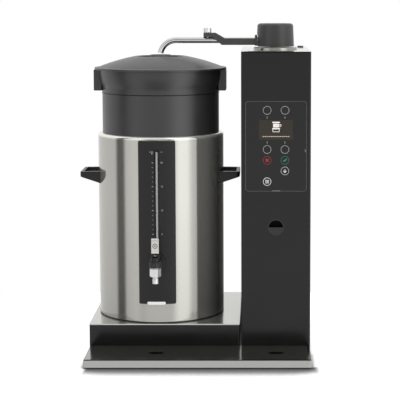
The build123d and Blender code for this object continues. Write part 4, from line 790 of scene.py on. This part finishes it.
class BREWER_OT_gauge(bpy.types.Operator):
    """Sight glass, litre ticks, numerals and the plain plate at the gauge's foot"""

    bl_idname = "brewer.gauge"
    bl_label = "Gauge"

    def execute(self, context):
        colours, sizes, _ = settings()
        dress(glass("gauge_glass", (0.52, 0.52, 0.51), 0.2), "gauge_tube")
        ink = printed("gauge_ink", scaled(colours.marks, 0.85))
        bm = bmesh.new()
        for litre in range(5, 21):
            length, line = (4.6 * MM, 2.2 * MM) if litre % 5 == 0 else (3.2 * MM, 1.3 * MM)
            plate(bm, -sizes.tick_offset, self.litre_height(sizes, litre), length, line)
        top = GAUGE_HIGH.z - 31.5 * MM
        plate(bm, -14.5 * MM, top, 12.0 * MM, 1.8 * MM)
        disc(bm, -13.0 * MM, top - 4.6 * MM, 2.0 * MM, 20)
        plate(bm, sizes.numeral_offset, top, 5.0 * MM, 1.2 * MM)
        bmesh.ops.subdivide_edges(bm, edges=bm.edges[:], cuts=1, use_grid_fill=True)
        for litre in (5, 10, 15, 20):
            mesh = numeral(str(litre), sizes.numeral_height)
            place = (sizes.numeral_offset, self.litre_height(sizes, litre), 0)
            mesh.transform(Matrix.Translation(place))
            bm.from_mesh(mesh)
            bpy.data.meshes.remove(mesh)
        thicken(bm, sizes.lift)
        onto_gauge(bm)
        publish(bm, "gauge_scale", ink, "urn", "black_plastic")
        self.foot_plate()
        return {"FINISHED"}

    def litre_height(self, sizes, litre):
        """Height of a litre's tick."""
        return sizes.first_litre_height + (litre - 5) * sizes.litre_pitch

    def foot_plate(self):
        """Bare white plate at the gauge's lower edge."""
        bm = bmesh.new()
        plate(bm, -3.0 * MM, GAUGE_LOW.z + 2.6 * MM, 53.0 * MM, 8.4 * MM, 3.6 * MM)
        for cut in range(-4, 5):
            parts = bm.verts[:] + bm.edges[:] + bm.faces[:]
            bmesh.ops.bisect_plane(bm, geom=parts, plane_co=(cut * 5.5 * MM, 0, 0), plane_no=(1, 0, 0))
        thicken(bm, 0.4 * MM)
        onto_gauge(bm)
        # The plain plate's glow is painted light that keeps it white.
        publish(bm, "gauge_foot_plate", printed("plain_plate_painted_glow", (0.9, 0.9, 0.89), 0.15), "urn", "clear")


class BREWER_OT_tap(bpy.types.Operator):
    """Light lever with its ring mark, and the ribs of the tap's ring"""

    bl_idname = "brewer.tap"
    bl_label = "Tap"

    def execute(self, context):
        colours, sizes, _ = settings()
        lever, tree, shader = finish("lever_plastic", colours.lever, roughness=0.35)
        paddle_foot = LEVER_HIGH.z - 42.0 * MM
        zoned(tree, shader, "Z", paddle_foot, scaled(colours.moulding, 0.5), colours.lever)
        relief(tree, shader, speckle(tree, (700.0, 700.0, 700.0)), 0.01 * MM, 0.4)
        dress(lever, "tap_lever")
        bm = bmesh.new()
        mark_height = LEVER_HIGH.z - 21.0 * MM
        ring(bm, 0, mark_height, 7.4 * MM, 2.4 * MM, 32)
        disc(bm, 0, mark_height, 2.6 * MM, 24)
        plate(bm, 0, LEVER_HIGH.z - 5.5 * MM, 19.0 * MM, 0.9 * MM)
        ink = printed("lever_ink", (0.2, 0.185, 0.16))
        stamp(bm, "lever_ring_mark", ink, sizes.lift, (TAP_AXIS.x, LEVER_LOW.y), "lever", "cream")
        self.ribs()
        return {"FINISHED"}

    def ribs(self):
        """Rounded ribs round the tap's ring, for the fingers."""
        low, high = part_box("tap_housing")
        centre = middle("tap_housing")
        radius = (high.x - low.x) / 2
        axis = Matrix.Translation((centre.x, low.y + radius, 0))
        out = Matrix.Translation((radius, 0, centre.z))
        size = Matrix.Diagonal((1.2 * MM, 1.8 * MM, (high.z - low.z) * 0.8, 1))
        count = 24
        bm = bmesh.new()
        for step in range(count):
            turn = Matrix.Rotation(step * math.tau / count, 4, "Z")
            made = bmesh.ops.create_cube(bm, size=1.0, matrix=axis @ turn @ out @ size)
            edges = {edge for vert in made["verts"] for edge in vert.link_edges}
            bmesh.ops.bevel(
                bm, geom=list(edges), offset=0.4 * MM, offset_type="OFFSET", segments=2, profile=0.5,
                affect="EDGES", material=-1)
        # The ribs are a lighter copy of the black moulding: painted highlight round the tap's ring.
        plastic = moulded("rib_plastic_painted_highlight", scaled(settings()[0].moulding, 3.0), 0.3)
        publish(bm, "tap_ring_ribs", plastic, "urn", "black_plastic")


class BREWER_OT_stage(bpy.types.Operator):
    """Pale floor, soft light, white background and the camera"""

    bl_idname = "brewer.stage"
    bl_label = "Stage"

    def execute(self, context):
        studio = settings()[2]
        self.floor(studio.floor_glow)
        self.room(studio.sky)
        self.lamp(
            "top_lamp", place=(-0.1, -0.2, 2.6), target=(0, 0, 0.3), width=2.4, height=2.0,
            power=studio.key_power)
        self.camera(studio)
        context.scene.view_settings.view_transform = "Standard"
        return {"FINISHED"}

    def floor(self, glow):
        """Pale floor with a contact shadow, lifted to white where the camera or glass sees it."""
        bm = bmesh.new()
        bmesh.ops.create_grid(bm, x_segments=4, y_segments=4, size=0.7)
        mesh = bpy.data.meshes.new("floor")
        bm.to_mesh(mesh)
        bm.free()
        pale = (0.93, 0.93, 0.93)
        shadow = (0.03, 0.03, 0.03)
        material, tree, shader = finish("pale_floor", pale, roughness=0.7, specular=0.1)
        close = self.nook(tree, 22.0 * MM, ((0.5, 0.12), (0.97, 1.0)))
        wide = self.nook(tree, 110.0 * MM, ((0.8, 0.1), (0.93, 0.17), (0.97, 0.45), (1.0, 1.0)))
        low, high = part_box("drip_tray")
        behind = carry(tree, along(tree, "Y"), low.y + 4.0 * MM, low.y + 24.0 * MM, smooth=True)
        left = carry(tree, along(tree, "X"), low.x + 16.0 * MM, low.x - 8.0 * MM, smooth=True)
        right = carry(tree, along(tree, "X"), high.x, high.x + 32.0 * MM, smooth=True)
        aside = reckon(tree, "MAXIMUM", behind, reckon(tree, "MAXIMUM", left, right))
        nooks = reckon(tree, "MULTIPLY", close, reckon(tree, "MAXIMUM", wide, aside))
        path = tree.nodes.new("ShaderNodeLightPath")
        unseen = reckon(tree, "SUBTRACT", 1.0, path.outputs["Is Camera Ray"])
        open_share = reckon(tree, "MAXIMUM", nooks, unseen)
        tree.links.new(blended(tree, open_share, shadow, pale), shader.inputs["Base Color"])
        seen = reckon(tree, "ADD", path.outputs["Is Camera Ray"], path.outputs["Is Transmission Ray"])
        lift = reckon(tree, "MULTIPLY", seen, glow)
        shader.inputs["Emission Color"].default_value = (1, 1, 1, 1)
        tree.links.new(reckon(tree, "MULTIPLY", lift, open_share), shader.inputs["Emission Strength"])
        mesh.materials.append(material)
        floor = bpy.data.objects.new("floor", mesh)
        floor.visible_glossy = False
        bpy.context.scene.collection.objects.link(floor)

    def nook(self, tree, reach, stops):
        """How open the floor is within a reach, carried through a curve of stops."""
        node = tree.nodes.new("ShaderNodeAmbientOcclusion")
        node.samples = 32
        node.inputs["Distance"].default_value = reach
        return grey_ramp(tree, node.outputs["AO"], stops)

    def room(self, strength):
        """White to the camera; to the surfaces a soft room with a dark gap between its lights."""
        world = bpy.data.worlds.new("studio_room")
        bpy.context.scene.world = world
        world.use_nodes = True
        tree = world.node_tree
        tree.nodes.clear()
        place = tree.nodes.new("ShaderNodeTexCoord")
        split = tree.nodes.new("ShaderNodeSeparateXYZ")
        tree.links.new(place.outputs["Generated"], split.inputs["Vector"])
        forward = reckon(tree, "MULTIPLY", split.outputs["Y"], -1.0)
        turn = reckon(tree, "ARCTAN2", split.outputs["X"], forward)
        share = carry(tree, turn, -math.pi, math.pi)
        around = grey_ramp(tree, share, (
            (0.0, 1.0), (0.254, 0.9), (0.271, 0.01), (0.307, 0.01), (0.324, 0.95), (0.38, 1.15),
            (0.44, 0.75), (0.54, 0.75), (0.565, 2.0), (0.645, 1.9), (0.672, 1.1), (0.7, 0.85), (1.0, 1.0)))
        ahead = grey_ramp(tree, share, ((0.4, 0.0), (0.44, 1.0), (0.56, 1.0), (0.6, 0.0)))
        upright = grey_ramp(tree, carry(tree, split.outputs["Z"], -0.5, 0.7), (
            (0.08, 0.3), (0.2, 1.15), (0.33, 1.05), (0.42, 0.75), (0.45, 0.75), (0.52, 0.22), (0.75, 0.22),
            (0.92, 0.75)))
        room = tree.nodes.new("ShaderNodeBackground")
        room.inputs["Strength"].default_value = strength
        tree.links.new(blended(tree, ahead, around, upright), room.inputs["Color"])
        white = tree.nodes.new("ShaderNodeBackground")
        white.inputs["Color"].default_value = (1, 1, 1, 1)
        path = tree.nodes.new("ShaderNodeLightPath")
        mix = tree.nodes.new("ShaderNodeMixShader")
        tree.links.new(path.outputs["Is Camera Ray"], mix.inputs["Fac"])
        tree.links.new(room.outputs["Background"], mix.inputs[1])
        tree.links.new(white.outputs["Background"], mix.inputs[2])
        out = tree.nodes.new("ShaderNodeOutputWorld")
        tree.links.new(mix.outputs["Shader"], out.inputs["Surface"])

    def lamp(self, name, place, target, width, height, power):
        """Large soft lamp aimed at a point."""
        data = bpy.data.lights.new(name, "AREA")
        data.shape = "RECTANGLE"
        data.size = width
        data.size_y = height
        data.energy = power
        lamp = bpy.data.objects.new(name, data)
        lamp.location = place
        aim = Vector(target) - Vector(place)
        lamp.rotation_euler = aim.to_track_quat("-Z", "Y").to_euler()
        lamp.visible_glossy = False
        bpy.context.scene.collection.objects.link(lamp)

    def camera(self, studio):
        """Camera at the photograph's place."""
        data = bpy.data.cameras.new("camera")
        data.lens = studio.lens
        data.sensor_width = 36.0
        data.shift_x, data.shift_y = studio.shift
        data.clip_start = 0.05
        data.clip_end = 200.0
        camera = bpy.data.objects.new("camera", data)
        camera.location = studio.camera_place
        camera.rotation_euler = Euler(studio.camera_turn, "XYZ")
        bpy.context.scene.collection.objects.link(camera)
        bpy.context.scene.camera = camera


OPERATORS = (
    BREWER_OT_casings,
    BREWER_OT_steel,
    BREWER_OT_mouldings,
    BREWER_OT_bright_metal,
    BREWER_OT_control_panel,
    BREWER_OT_gauge,
    BREWER_OT_tap,
    BREWER_OT_stage,
)


class BREWER_PT_looks(bpy.types.Panel):
    """Sidebar list of the brewer's settings and steps"""

    bl_idname = "BREWER_PT_looks"
    bl_label = "Coffee brewer"
    bl_space_type = "VIEW_3D"
    bl_region_type = "UI"
    bl_category = "Brewer"

    def draw(self, context):
        for group in settings():
            for name in group.__annotations__:
                self.layout.prop(group, name)
        for step in OPERATORS:
            self.layout.operator(step.bl_idname)


CLASSES = (BrewerFinishes, BrewerPrint, BrewerStudio, *OPERATORS, BREWER_PT_looks)


def register():
    """Registers the classes and hangs the settings on the scene."""
    for cls in CLASSES:
        bpy.utils.register_class(cls)
    bpy.types.Scene.brewer_finishes = bpy.props.PointerProperty(type=BrewerFinishes)
    bpy.types.Scene.brewer_print = bpy.props.PointerProperty(type=BrewerPrint)
    bpy.types.Scene.brewer_studio = bpy.props.PointerProperty(type=BrewerStudio)


def unregister():
    """Takes away what register added."""
    del bpy.types.Scene.brewer_studio
    del bpy.types.Scene.brewer_print
    del bpy.types.Scene.brewer_finishes
    for cls in reversed(CLASSES):
        bpy.utils.unregister_class(cls)


def main():
    """Runs every step in order."""
    register()
    bpy.ops.brewer.casings()
    bpy.ops.brewer.steel()
    bpy.ops.brewer.mouldings()
    bpy.ops.brewer.bright_metal()
    bpy.ops.brewer.control_panel()
    bpy.ops.brewer.gauge()
    bpy.ops.brewer.tap()
    bpy.ops.brewer.stage()


if __name__ == "__main__":
    main()
